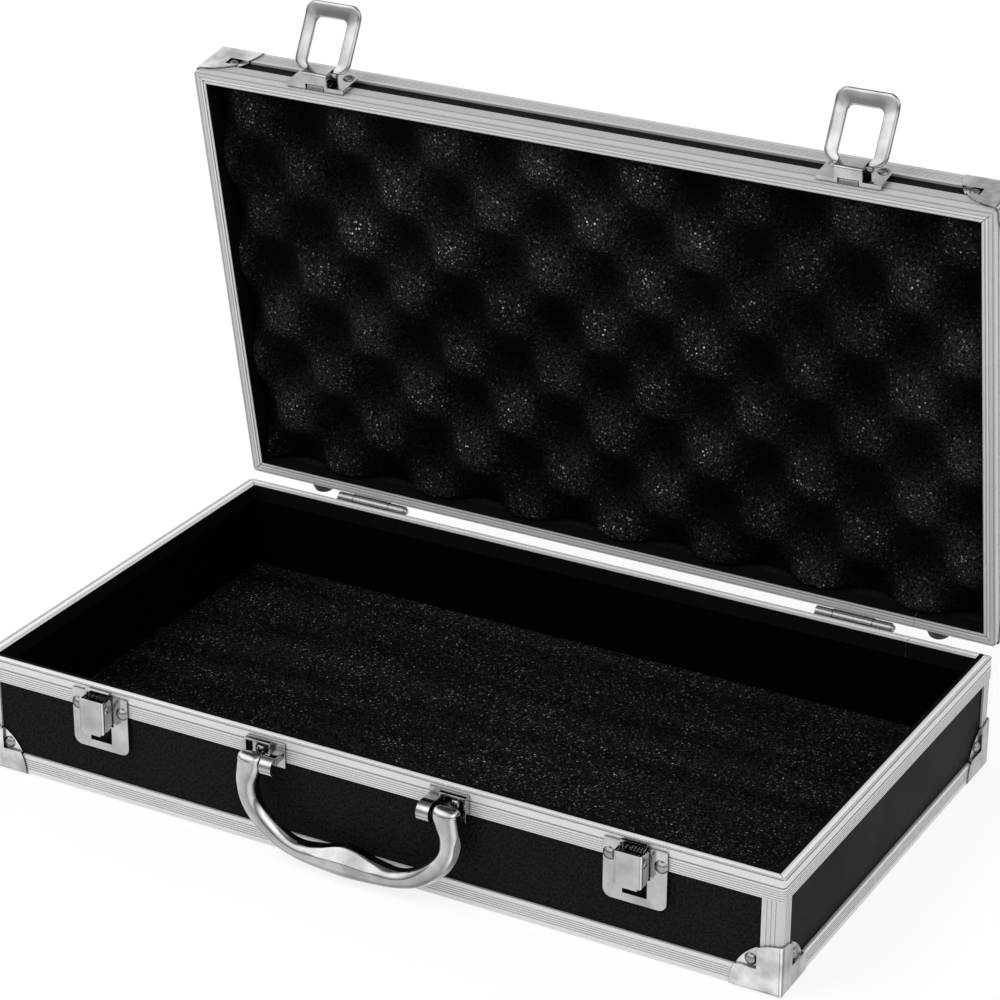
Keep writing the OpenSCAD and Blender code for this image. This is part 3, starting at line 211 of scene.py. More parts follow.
# Sheet metal upwards
SHEET_RISE_REFLECTION = [
    (-1.0, 0.7), (-0.7, 1.4), (-0.4, 1.4), (-0.22, 0.4), (-0.07, 1.0), (0.07, 1.0), (0.22, 0.4),
    (0.4, 1.4), (0.7, 1.4), (0.9, 0.9), (1.0, 1.0),
]
# The hasps' loops: painted reflection, brightest flat to the front
LOOP_REFLECTION = [
    (-1.0, 0.35), (-0.86, 0.7), (-0.6, 1.1), (-0.36, 1.1), (-0.2, 0.7), (-0.06, 1.4), (0.06, 1.4),
    (0.2, 0.7), (0.36, 1.1), (0.6, 1.1), (0.82, 0.35), (0.95, 0.45), (1.0, 0.85),
]
# The corner protectors: painted reflection with bright fronts and darker sides
CORNER_REFLECTION = [
    (-1.0, 0.7), (-0.86, 0.9), (-0.6, 1.6), (-0.36, 1.5), (-0.2, 0.5), (-0.06, 1.35), (0.06, 1.35),
    (0.2, 0.5), (0.36, 1.5), (0.6, 1.6), (0.82, 0.4), (0.95, 0.5), (1.0, 0.72),
]
# Painted shade on the panels: their sides are darker than their fronts
PANEL_SIDE_SHADE = [(-1.0, 0.6), (-0.5, 1.0), (0.5, 1.0), (1.0, 0.6)]


def painted_by_turn(nodes, links, colour, axis, painted_tones):
    """Painted light and shade: a colour that goes darker and brighter with the turn of the surface
    along its part's axis.
    """
    tc = add(nodes, "ShaderNodeTexCoord")
    xyz = add(nodes, "ShaderNodeSeparateXYZ")
    links.new(tc.outputs["Normal"], xyz.inputs[0])
    side = maths(nodes, links, "ADD", maths(nodes, links, "MULTIPLY", xyz.outputs[axis], 0.5), 0.5)
    shade = ramp(nodes, links, side, [(x / 2 + 0.5, grey(tone)) for x, tone in painted_tones])
    return times(nodes, links, colour, shade)


def panel_material():
    """Black laminate with a fine pebbled leather grain, and painted shade on its sides."""
    m, n, l, b = material("panel_black_laminate", (0.004, 0.004, 0.0042), 0.42)
    v = coords(n, l)
    cell = add(n, "ShaderNodeTexVoronoi", feature="DISTANCE_TO_EDGE")
    cell.inputs["Scale"].default_value = 1.15
    l.new(v, cell.inputs["Vector"])
    fine = noise(n, l, v, 0.9, 6)
    broad = noise(n, l, v, 0.02, 3)
    pebbles = maths(n, l, "MULTIPLY", cell.outputs["Distance"], 0.6)
    h = maths(n, l, "ADD", pebbles, maths(n, l, "MULTIPLY", fine, 0.5))
    l.new(bump(n, l, h, strength=0.22, distance=0.12), b.inputs["Normal"])
    grain = ramp(n, l, fine, [(0.36, grey(0.0028)), (0.66, (0.0132, 0.0132, 0.0136))])
    # Painted shade: the grain is darker where the panel turns to the sides
    l.new(painted_by_turn(n, l, grain, "X", PANEL_SIDE_SHADE), b.inputs["Base Color"])
    l.new(ramp(n, l, broad, [(0.3, grey(0.38)), (0.75, grey(0.5))]), b.inputs["Roughness"])
    b.inputs["Specular IOR Level"].default_value = 0.02
    return m


def case_coords(nodes, links, carried_by_lid):
    """Millimetres in the closed case's frame, for a node carried by the base or by the lid."""
    tc = add(nodes, "ShaderNodeTexCoord")
    place = (lid_place() if carried_by_lid else base_place()).inverted()
    mp = add(nodes, "ShaderNodeMapping")
    mp.inputs["Location"].default_value = place.to_translation()
    mp.inputs["Rotation"].default_value = place.to_euler()
    mp.inputs["Scale"].default_value = [1 / MM] * 3
    links.new(tc.outputs["Object"], mp.inputs["Vector"])
    return mp.outputs["Vector"]


def edge_distance(nodes, links, vector):
    """Distance in from all four sides of the case, distance in from the front and right side alone,
    and height, all in millimetres of the closed case."""
    xyz = add(nodes, "ShaderNodeSeparateXYZ")
    links.new(vector, xyz.inputs[0])
    right = maths(nodes, links, "SUBTRACT", CASE_W / 2, xyz.outputs["X"])
    left = maths(nodes, links, "ADD", CASE_W / 2, xyz.outputs["X"])
    front = maths(nodes, links, "ADD", HALF_D, xyz.outputs["Y"])
    back = maths(nodes, links, "SUBTRACT", HALF_D, xyz.outputs["Y"])
    near = maths(nodes, links, "MINIMUM", right, front)
    far = maths(nodes, links, "MINIMUM", left, back)
    return maths(nodes, links, "MINIMUM", near, far), near, xyz.outputs["Z"]


FRAME_METAL = 0.5
# Black of the faces inside the case, which also paints the shadow of the base rim's sunk lip
BLACK_AND_LIP_SHADOW = (0.003, 0.003, 0.003, 1)
# Millimetres: where the insides of the extrusions start, where the painted shadow of the base rim's
# sunk lip starts and ends, how thick the parting face counts, and how far from the case's floor or top
# a rail's inside starts
INSIDE_EDGE = RIM_W - 0.08
LIP_SHADOW_START = 4.1
LIP_SHADOW_END = RIM_W + 0.3
PARTING_T = 0.35
RAIL_EDGE = 2.5
# Painted highlight and shade lines of the parting face, standing for its beads, by the distance in from
# the outside, which goes up to LINES_SPAN
LINES_SPAN = 10
BASE_BEAD_LIGHT = [
    (0.0, 0.4), (0.4, 0.4), (0.7, 1.2), (2.9, 1.3), (3.2, 0.8), (3.5, 1.2), (4.1, 0.5), (4.6, 0.9),
    (5.9, 0.7),
]
LID_BEAD_LIGHT = [
    (0.25, 0.9), (0.9, 0.45), (1.3, 0.95), (2.6, 0.9), (2.95, 0.4), (3.3, 1.25), (3.9, 1.2),
    (4.2, 0.45), (4.6, 1.05), (5.3, 1.15), (5.9, 0.4),
]


def frame_material(name, carried_by_lid, low, high, painted_groove_shade):
    """Satin anodised aluminium extrusion with fine drawing marks, painted shade in its grooves and
    painted highlight and shade lines on its parting face. Its flanges inside the case are made black,
    and on the base a band along the inner edge of the front and right rims is black as painted shadow
    of a sunk lip.
    low and high are its darkest and brightest grey, and the last argument is the share of the colour
    that the painted shade leaves in grooves."""
    m, n, l, b = material(name, (0.72, 0.72, 0.73), 0.42, 0.5)
    v = coords(n, l)
    fine = noise(n, l, v, 3.2, 5)
    broad = noise(n, l, v, 0.035, 4)
    bright = ramp(n, l, fine, [(0.25, grey(low)), (0.7, grey(high))])
    depth, near, height = edge_distance(n, l, case_coords(n, l, carried_by_lid))
    if carried_by_lid:
        clear = maths(n, l, "LESS_THAN", height, TOTAL_H - RAIL_EDGE)
        parting = maths(n, l, "LESS_THAN", height, BASE_H + SEAM + PARTING_T)
        bead_light = LID_BEAD_LIGHT
    else:
        clear = maths(n, l, "GREATER_THAN", height, RAIL_EDGE)
        parting = maths(n, l, "GREATER_THAN", height, BASE_H - PARTING_T)
        bead_light = BASE_BEAD_LIGHT
    # Faces inside the case are made black; on the base, a band by the front and right rims' inner edge
    # is painted shadow of a sunk lip
    black_inside_and_lip_shadow = maths(n, l, "MULTIPLY", clear, maths(n, l, "GREATER_THAN", depth, INSIDE_EDGE))
    if not carried_by_lid:
        lip_shadow = maths(n, l, "MULTIPLY", maths(n, l, "GREATER_THAN", near, LIP_SHADOW_START),
                     maths(n, l, "LESS_THAN", near, LIP_SHADOW_END))
        black_inside_and_lip_shadow = maths(n, l, "MAXIMUM", black_inside_and_lip_shadow, maths(n, l, "MULTIPLY", clear, lip_shadow))
    # Painted highlight and shade lines on the parting face
    bead_light_lines = ramp(n, l, maths(n, l, "MULTIPLY", depth, 1 / LINES_SPAN),
                   [(at / LINES_SPAN, grey(tone)) for at, tone in bead_light])
    faced = add(n, "ShaderNodeMix", data_type="RGBA")
    l.new(parting, faced.inputs["Factor"])
    faced.inputs[MIX_A].default_value = (1, 1, 1, 1)
    l.new(bead_light_lines, faced.inputs[MIX_B])
    # Painted shade in grooves and against other parts
    groove_shaded = painted_crevice_shade(n, l, bright, reach=0.9, dark=painted_groove_shade, start=0.4, end=0.92)
    lined = times(n, l, groove_shaded, faced.outputs[MIX_OUT])
    mix = add(n, "ShaderNodeMix", data_type="RGBA")
    l.new(black_inside_and_lip_shadow, mix.inputs["Factor"])
    l.new(lined, mix.inputs[MIX_A])
    mix.inputs[MIX_B].default_value = BLACK_AND_LIP_SHADOW
    l.new(mix.outputs[MIX_OUT], b.inputs["Base Color"])
    metal = maths(n, l, "SUBTRACT", FRAME_METAL, maths(n, l, "MULTIPLY", parting, 0.3))
    l.new(maths(n, l, "MULTIPLY", maths(n, l, "SUBTRACT", 1.0, black_inside_and_lip_shadow), metal), b.inputs["Metallic"])
    worn = maths(n, l, "ADD", maths(n, l, "MULTIPLY", fine, 0.10), maths(n, l, "MULTIPLY", broad, 0.16))
    dull = maths(n, l, "MULTIPLY", black_inside_and_lip_shadow, 0.4)
    l.new(maths(n, l, "ADD", maths(n, l, "ADD", worn, 0.32), dull), b.inputs["Roughness"])
    l.new(bump(n, l, fine, strength=0.10, distance=0.06), b.inputs["Normal"])
    b.inputs["Specular IOR Level"].default_value = 0.05
    return m


def plated_material(name, painted_tones, rise=None, high=0.56, low=0.38):
    """Polished nickel plating with faint smears and pits, with painted reflections by the turn of the
    surface sideways and, with rise, upwards, and painted shade in grooves and against other parts.
    high and low are its greys where it is clean and where smeared, broad patches that are also painted
    uneven reflection of pressed sheet."""
    m, n, l, b = material(name, (0.6, 0.6, 0.61), 0.08, 1.0)
    v = coords(n, l)
    smear_and_sheen = noise(n, l, v, 0.09, 6)
    pit = noise(n, l, v, 1.4, 3)
    l.new(ramp(n, l, smear_and_sheen, [(0.35, grey(0.05)), (0.75, grey(0.14))]), b.inputs["Roughness"])
    # Grey in broad patches with the smears, also painted uneven reflection of pressed sheet
    tone = ramp(n, l, smear_and_sheen, [(0.34, grey(high)), (0.66, grey(low))])
    # Painted reflections by the turn of the surface
    tone = painted_by_turn(n, l, tone, "X", painted_tones)
    if rise:
        tone = painted_by_turn(n, l, tone, "Z", rise)
    # Painted shade in grooves and against other parts
    tone = painted_crevice_shade(n, l, tone, reach=2.2, dark=0.1, start=0.36, end=0.84)
    l.new(tone, b.inputs["Base Color"])
    l.new(bump(n, l, pit, strength=0.05, distance=0.08), b.inputs["Normal"])
    return m


def steel_material(name, low, high, reach, dark_rim_reflection=False):
    """Darker satin steel of rivets, pins, leaves and springs, with painted shade in grooves and against
    other parts. With the last argument set, domed heads go dark round their rims as painted reflection
    of the dark things round them."""
    m, n, l, b = material(name, (0.55, 0.55, 0.57), 0.22, 1.0)
    v = coords(n, l)
    fine = noise(n, l, v, 0.9, 6)
    tone = ramp(n, l, fine, [(0.3, grey(low)), (0.75, grey(high))])
    if dark_rim_reflection:
        # Painted reflection: domes go dark round their rims
        facing = add(n, "ShaderNodeLayerWeight")
        facing.inputs["Blend"].default_value = 0.5
        rim_reflection_shade = ramp(n, l, facing.outputs["Facing"], [(0.3, grey(1.0)), (0.62, grey(0.15))])
        tone = times(n, l, tone, rim_reflection_shade)
    # Painted shade in grooves and against other parts
    tone = painted_crevice_shade(n, l, tone, reach, dark=0.06, start=0.45, end=0.95)
    l.new(tone, b.inputs["Base Color"])
    l.new(ramp(n, l, fine, [(0.3, grey(0.12)), (0.75, grey(0.26))]), b.inputs["Roughness"])
    l.new(bump(n, l, fine, strength=0.06, distance=0.1), b.inputs["Normal"])
    return m


# Painted shade and highlight of the egg-crate foam by its height, from the pits to the tops
RELIEF_LIGHT = [(0.02, 0.16), (0.12, 0.26), (0.32, 0.4), (0.6, 0.58), (0.84, 1.05), (1.0, 1.35)]


def foam_material(name, dark, light, speck, bright, bands, relief=None):
    """Open cell foam: dull and black, with cell walls that catch the light as grain and specks. dark
    and light are the greys of its ground, bright that of its specks, and cells whose grey is over
    speck have one. bands is the scale of its broad light and dark bands. Where the mesh has the
    attribute relief, 0 in the pits and 1 on the tops, the pits get painted shade, as little light
    gets there, and the tops a painted highlight."""
    m, n, l, b = material(name, grey(dark), 0.95)
    v = coords(n, l)
    cells = add(n, "ShaderNodeTexVoronoi", feature="F1")
    cells.inputs["Scale"].default_value = 0.8
    l.new(v, cells.inputs["Vector"])
    pores = noise(n, l, v, 0.95, 3, 0.65)
    patch = noise(n, l, v, 0.045, 3)
    # Each cell has its own random grey. The brighter ones show as specks near their centres.
    keep = ramp(n, l, cells.outputs["Color"],
                [(speck, grey(0.0)), (0.80, grey(0.3)), (0.93, grey(1.0))])
    near = ramp(n, l, cells.outputs["Distance"], [(0.16, grey(1.0)), (0.46, grey(0.0))])
    specks = maths(n, l, "MULTIPLY", keep, near)
    clusters = ramp(n, l, patch, [(0.35, grey(0.3)), (0.62, grey(1.0))])
    specks = maths(n, l, "MULTIPLY", specks, clusters)
    band = noise(n, l, coords(n, l, bands), 1.0, 2)
    shade = ramp(n, l, band, [(0.36, grey(0.42)), (0.62, grey(1.0))])
    ground = ramp(n, l, pores,
                  [(0.40, grey(dark)), (0.54, grey(light * 0.45)), (0.70, grey(light))])
    mix = add(n, "ShaderNodeMix", data_type="RGBA")
    l.new(ground, mix.inputs[MIX_A])
    mix.inputs[MIX_B].default_value = (*grey(bright), 1)
    colour = times(n, l, mix.outputs[MIX_OUT], shade)
    if relief:
        at = add(n, "ShaderNodeAttribute")
        at.attribute_name = relief
        # Painted shade in the pits and painted highlight on the tops, by the relief
        height = ramp(n, l, at.outputs["Fac"],
                      [(rise, grey(tone)) for rise, tone in RELIEF_LIGHT])
        specks = maths(n, l, "MULTIPLY", specks, height)
        colour = times(n, l, colour, height)
    l.new(specks, mix.inputs["Factor"])
    l.new(colour, b.inputs["Base Color"])
    h = maths(n, l, "ADD", maths(n, l, "MULTIPLY", cells.outputs["Distance"], 0.8), pores)
    l.new(bump(n, l, h, strength=0.7, distance=0.6), b.inputs["Normal"])
    l.new(ramp(n, l, patch, [(0.3, grey(0.86)), (0.8, grey(0.97))]), b.inputs["Roughness"])
    b.inputs["Specular IOR Level"].default_value = 0.04
    return m


def lining_material():
    """Dull black lining cloth on the inner walls."""
    m, n, l, b = material("lining_black", grey(0.0008), 0.92)
    v = coords(n, l)
    fuzz = noise(n, l, v, 1.8, 5)
    l.new(ramp(n, l, fuzz, [(0.35, grey(0.0006)), (0.8, grey(0.0018))]), b.inputs["Base Color"])
    l.new(bump(n, l, fuzz, strength=0.3, distance=0.2), b.inputs["Normal"])
    b.inputs["Specular IOR Level"].default_value = 0.01
    return m


def rubber_material():
    """Matte black rubber of the feet."""
    m, n, l, b = material("rubber_black", grey(0.02), 0.6)
    v = coords(n, l)
    fine = noise(n, l, v, 1.2, 4)
    l.new(ramp(n, l, fine, [(0.3, grey(0.014)), (0.8, grey(0.03))]), b.inputs["Base Color"])
    l.new(bump(n, l, fine, strength=0.15, distance=0.12), b.inputs["Normal"])
    return m


MATS = {
    "panel": panel_material(),
    "frame": frame_material("frame_satin_aluminium", False, low=0.595, high=0.70, painted_groove_shade=0.5),
    "plated": plated_material("plated_sheet", SHEET_REFLECTION),
    "steel": steel_material("steel_satin", low=0.36, high=0.5, reach=1.2),
    "foam": foam_material("foam_floor", dark=0.0004, light=0.019, speck=0.52, bright=0.44,
                          bands=(0.004, 0.055, 0.02)),
    "lining": lining_material(),
    "rubber": rubber_material(),
}
LID_FOAM = foam_material("foam_egg_crate", dark=0.0008, light=0.028, speck=0.50, bright=0.5,
                         bands=(0.02, 0.02, 0.02), relief="relief")
# Darker copies of the frame's aluminium for the lid and the posts: painted shade
LID_FRAME_SHADED = frame_material("frame_satin_aluminium_lid", True, low=0.49, high=0.575, painted_groove_shade=0.95)
POST_FRAME_SHADED = frame_material("frame_satin_aluminium_post_shaded", False, low=0.495, high=0.575, painted_groove_shade=0.8)
# Rivets: the steel's greys set lower and a dark ring round the domes, painted reflection of the dark
# things that they mirror
RIVET = steel_material("steel_rivet", low=0.26, high=0.44, reach=2.0, dark_rim_reflection=True)
# Copies of the plating for cast, sheet, loop and corner parts; their tables and their lower or higher
# greys are painted reflections
PLATED_CAST = plated_material("plated_cast", CAST_REFLECTION, CAST_RISE_REFLECTION)
PLATED_FRONT = plated_material("plated_front", SHEET_REFLECTION, SHEET_RISE_REFLECTION)
PLATED_LOOP = plated_material("plated_loop", LOOP_REFLECTION, high=0.45, low=0.3)
PLATED_CORNER = plated_material("plated_corner", CORNER_REFLECTION, high=0.62, low=0.3)

for part in frame["record"]["subparts"]:
    obj = NODES[part["node"]]
    obj.data.materials.clear()
    mat = MATS[part["material_slot"]]
    if part["material_slot"] == "frame" and part["node"].startswith("lid_"):
        mat = LID_FRAME_SHADED
    elif part["node"].startswith("base_posts"):
        mat = POST_FRAME_SHADED
    elif "rivets" in part["node"] or part["node"] == "handle_screws":
        mat = RIVET
    elif part["node"].endswith(("protectors_front", "protectors_back")):
        mat = PLATED_CORNER
    elif part["node"].startswith(("latch_plate", "latch_lever", "handle_bracket")):
        mat = PLATED_FRONT
    obj.data.materials.append(mat)


# ---------------------------------------------------------------- CAD pieces, edges eased


WELD_DISTANCE = 1e-6
FLAT_ANGLE = math.radians(0.8)
EDGE_ANGLE = math.radians(38)
FACE_WEIGHT = 60
# How wide the edges of bent sheet and of the other pieces are rounded, in millimetres
SHEET_EASE = 0.42
EDGE_EASE = 0.3


def ease(name, width, segments):
    """Rounds the hard edges of a CAD node with modifiers, its own mesh stays. width in millimetres."""
    o = NODES[name]
    w = o.modifiers.new("weld", "WELD")
    w.merge_threshold = WELD_DISTANCE
    d = o.modifiers.new("flat", "DECIMATE")
    d.decimate_type = "DISSOLVE"
    d.angle_limit = FLAT_ANGLE
    b = o.modifiers.new("ease", "BEVEL")
    b.width = width * MM
    b.segments = segments
    b.limit_method = "ANGLE"
    b.angle_limit = EDGE_ANGLE
    b.use_clamp_overlap = True
    b.harden_normals = False
    n = o.modifiers.new("normals", "WEIGHTED_NORMAL")
    n.keep_sharp = False
    n.weight = FACE_WEIGHT


for key in NODES:
    if key.startswith(("latch_plate", "hasp_plate", "handle_bracket", "latch_lever")):
        ease(key, SHEET_EASE, 3)
    elif "protectors" in key:
        ease(key, EDGE_EASE, 3)
    elif "panel" in key or "feet" in key:
        ease(key, EDGE_EASE, 2)


# ---------------------------------------------------------------- helpers for new pieces


def new_piece(name, bm, mat, body, replaces):
    """Makes an object of a mesh, lets it ride on a body and has it replace CAD nodes."""
    me = bpy.data.meshes.new(name)
    bmesh.ops.recalc_face_normals(bm, faces=bm.faces)
    bm.to_mesh(me)
    bm.free()
    for p in me.polygons:
        p.use_smooth = True
    me.materials.append(mat)
    o = bpy.data.objects.new(name, me)
    bpy.context.scene.collection.objects.link(o)
    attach(o, body)
    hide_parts(*replaces)
    return o


def grid_faces(bm, rows):
    """Faces between the rows of a grid of vertices."""
    for a, b in zip(rows, rows[1:]):
        for i in range(len(a) - 1):
            bm.faces.new((a[i], a[i + 1], b[i + 1], b[i]))


def grid_edge(rows):
    """The vertices round a grid, in order."""
    start, end = rows[0][:-1], rows[-1][:0:-1]
    return start + [row[-1] for row in rows[:-1]] + end + [row[0] for row in rows[:0:-1]]


def tube_faces(bm, rings):
    """Faces between rings of as many vertices each, and one at either end."""
    n = len(rings[0])
    for a, b in zip(rings, rings[1:]):
        for k in range(n):
            bm.faces.new((a[k], a[(k + 1) % n], b[(k + 1) % n], b[k]))
    bm.faces.new(rings[0])
    bm.faces.new(rings[-1])


def share(value, start, span):
    """0 up to start, 1 from start + span, and evenly in between."""
    return min(1.0, max(0.0, (value - start) / span))


def rounded(edge, width, depth):
    """How far a pad's face lies lower near its outline, edge in from it."""
    return depth * max(0.0, 1 - edge / width) ** 2


# ---------------------------------------------------------------- lid foam


# Millimetres, as in the part's source: the pad's gap to the rim, and what lies between the lid's
# outside and the pad
SOFT_GAP = 0.3
PROTECTOR_T = 0.8
RAIL_T = 1.2
BOARD_T = 3.2
SEAT = 0.05
BOARD_TOP = PROTECTOR_T + SEAT + RAIL_T + SEAT + BOARD_T + SEAT
# The pad's thickness, and the depth, spacing and place of its pillows
LID_FOAM_T = 19.0
EGG_DEPTH = 9.5
EGG_PITCH_X = 51.2
EGG_PITCH_Y = 27.8
EGG_X = 31.6
EGG_Y = 19.2
EGG_POWER = 0.8
EGG_SWELL = 0.25
# The grid that the face is drawn on, and how far and deep its outline is rounded
EGG_GRID = (258, 142)
EGG_EDGE_W = 2.4
EGG_EDGE_T = 1.6


def egg_height(x, y):
    """Height of the egg-crate face over the pad's back: broad pillows, narrow pits."""
    wave_x = math.cos(math.tau * (x - EGG_X) / EGG_PITCH_X)
    wave_y = math.cos(math.pi * (y - EGG_Y) / EGG_PITCH_Y)
    wave = wave_x * wave_y
    swell = math.copysign(abs(wave) ** EGG_POWER, wave)
    if swell > 0:
        swell *= 1 + EGG_SWELL - EGG_SWELL * swell
    return LID_FOAM_T - EGG_DEPTH / 2 + EGG_DEPTH / 2 * swell


def lid_foam():
    """Egg-crate pad glued into the lid, its outline a little rounded."""
    w = CASE_W - 2 * (RIM_W + SOFT_GAP)
    d = CASE_D - 2 * (RIM_W + SOFT_GAP)
    nx, ny = EGG_GRID
    back_z = TOTAL_H - BOARD_TOP
    place = lid_place()
    inverse = place.inverted()
    bm = bmesh.new()
    rows = []
    for j in range(ny + 1):
        y = -d / 2 + d * j / ny
        row = []
        for i in range(nx + 1):
            x = -w / 2 + w * i / nx
            edge = min(x + w / 2, w / 2 - x, y + d / 2, d / 2 - y)
            h = egg_height(x, y) - rounded(edge, EGG_EDGE_W, EGG_EDGE_T)
            row.append(bm.verts.new(place @ Vector((x, y, back_z - h))))
        rows.append(row)
    grid_faces(bm, rows)
    loop = grid_edge(rows)
    low = []
    for v in loop:
        p = inverse @ v.co
        low.append(bm.verts.new(place @ Vector((p.x, p.y, back_z - SEAT))))
    n = len(loop)
    for k in range(n):
        bm.faces.new((loop[(k + 1) % n], loop[k], low[k], low[(k + 1) % n]))
    bm.faces.new(low)
    o = new_piece("lid_egg_crate_foam", bm, LID_FOAM, "lid", ("lid_foam",))
    relief = o.data.attributes.new("relief", "FLOAT", "POINT")
    pit_z = back_z - (LID_FOAM_T - EGG_DEPTH)
    rise = [share(pit_z - (inverse @ v.co).z, 0, EGG_DEPTH) for v in o.data.vertices]
    relief.data.foreach_set("value", rise)


lid_foam()


# ---------------------------------------------------------------- base floor pad


PAD_GRID = (120, 90)
# How far the pad's face lies under the top of its box, and how high it ripples, in millimetres
PAD_DROP = 0.25
PAD_RIPPLE = 0.2
# Millimetres per radian of the ripples, the angle that they sway by, millimetres per radian of that
RIPPLE_L = 7.3
SWAY = 0.6
SWAY_L = 61
# How far in and how deep the pad's upper edges are rounded, in millimetres
PAD_EDGE_W = 2.6
PAD_EDGE_T = 1.5


def floor_foam():
    """Flat pad, its top slightly rippled lengthwise from the slicing, its upper edges rounded."""
    low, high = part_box("base_floor_foam")
    low, high = Vector(low) / MM, Vector(high) / MM
    nx, ny = PAD_GRID
    bm = bmesh.new()
    rows = []
    for j in range(ny + 1):
        y = low.y + (high.y - low.y) * j / ny
        row = []
        for i in range(nx + 1):
            x = low.x + (high.x - low.x) * i / nx
            edge = min(x - low.x, high.x - x, y - low.y, high.y - y)
            ripple = PAD_RIPPLE * math.sin(y / RIPPLE_L + SWAY * math.sin(x / SWAY_L))
            z = high.z - PAD_DROP + ripple - rounded(edge, PAD_EDGE_W, PAD_EDGE_T)
            row.append(bm.verts.new(Vector((x, y, z)) * MM))
        rows.append(row)
    grid_faces(bm, rows)
    loop = grid_edge(rows)
    under = [bm.verts.new(Vector((v.co.x, v.co.y, low.z * MM))) for v in loop]
    n = len(loop)
    for k in range(n):
        bm.faces.new((loop[k], loop[(k + 1) % n], under[(k + 1) % n], under[k]))
    bm.faces.new(under)
    o = new_piece("base_floor_pad", bm, MATS["foam"], "base", ("base_floor_foam",))


floor_foam()


# ---------------------------------------------------------------- handle


# The handle's pivots, in millimetres: in front of the case, over its floor, out from its middle
HANDLE_OUT = 8.5
HANDLE_Z = 46.5
BRACKET_X = 48.6
# The rounded top of a leg: its radius, and the radius and the reach of its rounded sides
BOSS_R = 4.4
BOSS_EDGE = 3.2
BOSS_REACH = 6.15
BOSS_SQUARE = 0.72
BOSS_RISES = (4.36, 4.2, 3.8, 3.1, 2.3, 1.2)
# The rest of one half: out from the bracket, under the pivot, width, thickness, squareness
HANDLE_ROWS = [
    (0.0, 0.0, 12.3, 8.8, 0.74),
    (1.0, 4.0, 11.6, 8.7, 0.8),
    (2.2, 10.0, 10.4, 8.7, 0.9),
    (1.0, 18.0, 9.5, 8.7, 0.96),
    (-4.0, 26.0, 9.2, 8.7, 0.98),
    (-13.4, 33.4, 9.0, 8.8, 1.0),
    (-23.6, 37.0, 8.8, 9.4, 1.0),
    (-35.6, 37.2, 11.4, 11.6, 1.0),
    (-BRACKET_X, 36.0, 15.0, 14.0, 1.0),
]
# How finely the sections follow each other at the tops and along the grip, and points per section
BOSS_PARTS = 3
GRIP_PARTS = 14
HANDLE_SIDES = 96
# The flat facets of the legs and of the grip: direction from the front outwards, reach as a share
# of the section's mean radius where they don't cut, and how much less it is where they cut deepest
LEG_FACET, LEG_REACH, LEG_CUT = math.radians(-62), 1.3, 0.34
GRIP_FACET, GRIP_REACH, GRIP_CUT = math.radians(44), 1.2, 0.32
# Millimetres that a leg's facet starts and grows over, down from the pivot and out from the middle,
# how far out the grip's facet goes, and how far down it starts
LEG_DOWN, LEG_DOWN_SPAN = 2, 10
LEG_OUT, LEG_OUT_SPAN = 27, 14
GRIP_HALF = 30
GRIP_DOWN = 30
HANDLE_SHARP = math.radians(50)


def catmull(a, b, c, d, t):
    """Catmull-Rom spline from b, at t = 0, to c, at t = 1."""
    return tuple(
        0.5 * (2 * q + (r - p) * t + (2 * p - 5 * q + 4 * r - s) * t * t
               + (3 * q - p - 3 * r + s) * t ** 3)
        for p, q, r, s in zip(a, b, c, d)
    )


def handle_stations():
    """Sections along the handle: x, z, width, thickness and squareness."""
    half = []
    for up in BOSS_RISES:
        cut = max(0.0, up - BOSS_R + BOSS_EDGE)
        w = 2 * (BOSS_REACH - BOSS_EDGE + math.sqrt(BOSS_EDGE ** 2 - cut ** 2))
        t = 2 * math.sqrt(BOSS_R ** 2 - up ** 2)
        half.append((BRACKET_X, HANDLE_Z + up, w, t, BOSS_SQUARE))
    half += [(BRACKET_X + out, HANDLE_Z - down, *rest) for out, down, *rest in HANDLE_ROWS]
    path = half + [(-h[0], *h[1:]) for h in reversed(half[:-1])]
    last = len(path) - 1
    stations = []
    for i in range(last):
        pts = [path[max(0, min(last, i + k))] for k in (-1, 0, 1, 2)]
        parts = BOSS_PARTS if min(i, last - 1 - i) < len(BOSS_RISES) else GRIP_PARTS
        stations += [catmull(*pts, k / parts) for k in range(parts)]
    return stations + [path[last]]


def handle_facets(x, z, w, t):
    """Facets of one section: one inside the curve of each leg, one low on the front of the grip."""
    low = share(HANDLE_Z - z, LEG_DOWN, LEG_DOWN_SPAN)
    leg = share(abs(x), LEG_OUT, LEG_OUT_SPAN)
    leg = leg * leg * (3 - 2 * leg)
    mid = max(0.0, 1 - (x / GRIP_HALF) ** 2) if z < HANDLE_Z - GRIP_DOWN else 0.0
    radius = (t + w) / 4
    return [
        (LEG_FACET, radius * (LEG_REACH - LEG_CUT * low * leg)),
        (GRIP_FACET, radius * (GRIP_REACH - GRIP_CUT * mid)),
    ]


def handle_ring(ang, w, t, square, facets):
    """Point of a cross-section, u away from the handle's middle and v to the front: a soft rectangle,
    cut flat where a facet's reach is passed. A facet is its direction from the front towards u, and
    its reach."""
    c, s = math.cos(ang), math.sin(ang)
    u = math.copysign(abs(c) ** square, c) * w / 2
    v = math.copysign(abs(s) ** square, s) * t / 2
    for turn, reach in facets:
        cu, cv = math.sin(turn), math.cos(turn)
        over = u * cu + v * cv - reach
        if over > 0:
            u -= over * cu
            v -= over * cv
    return u, v


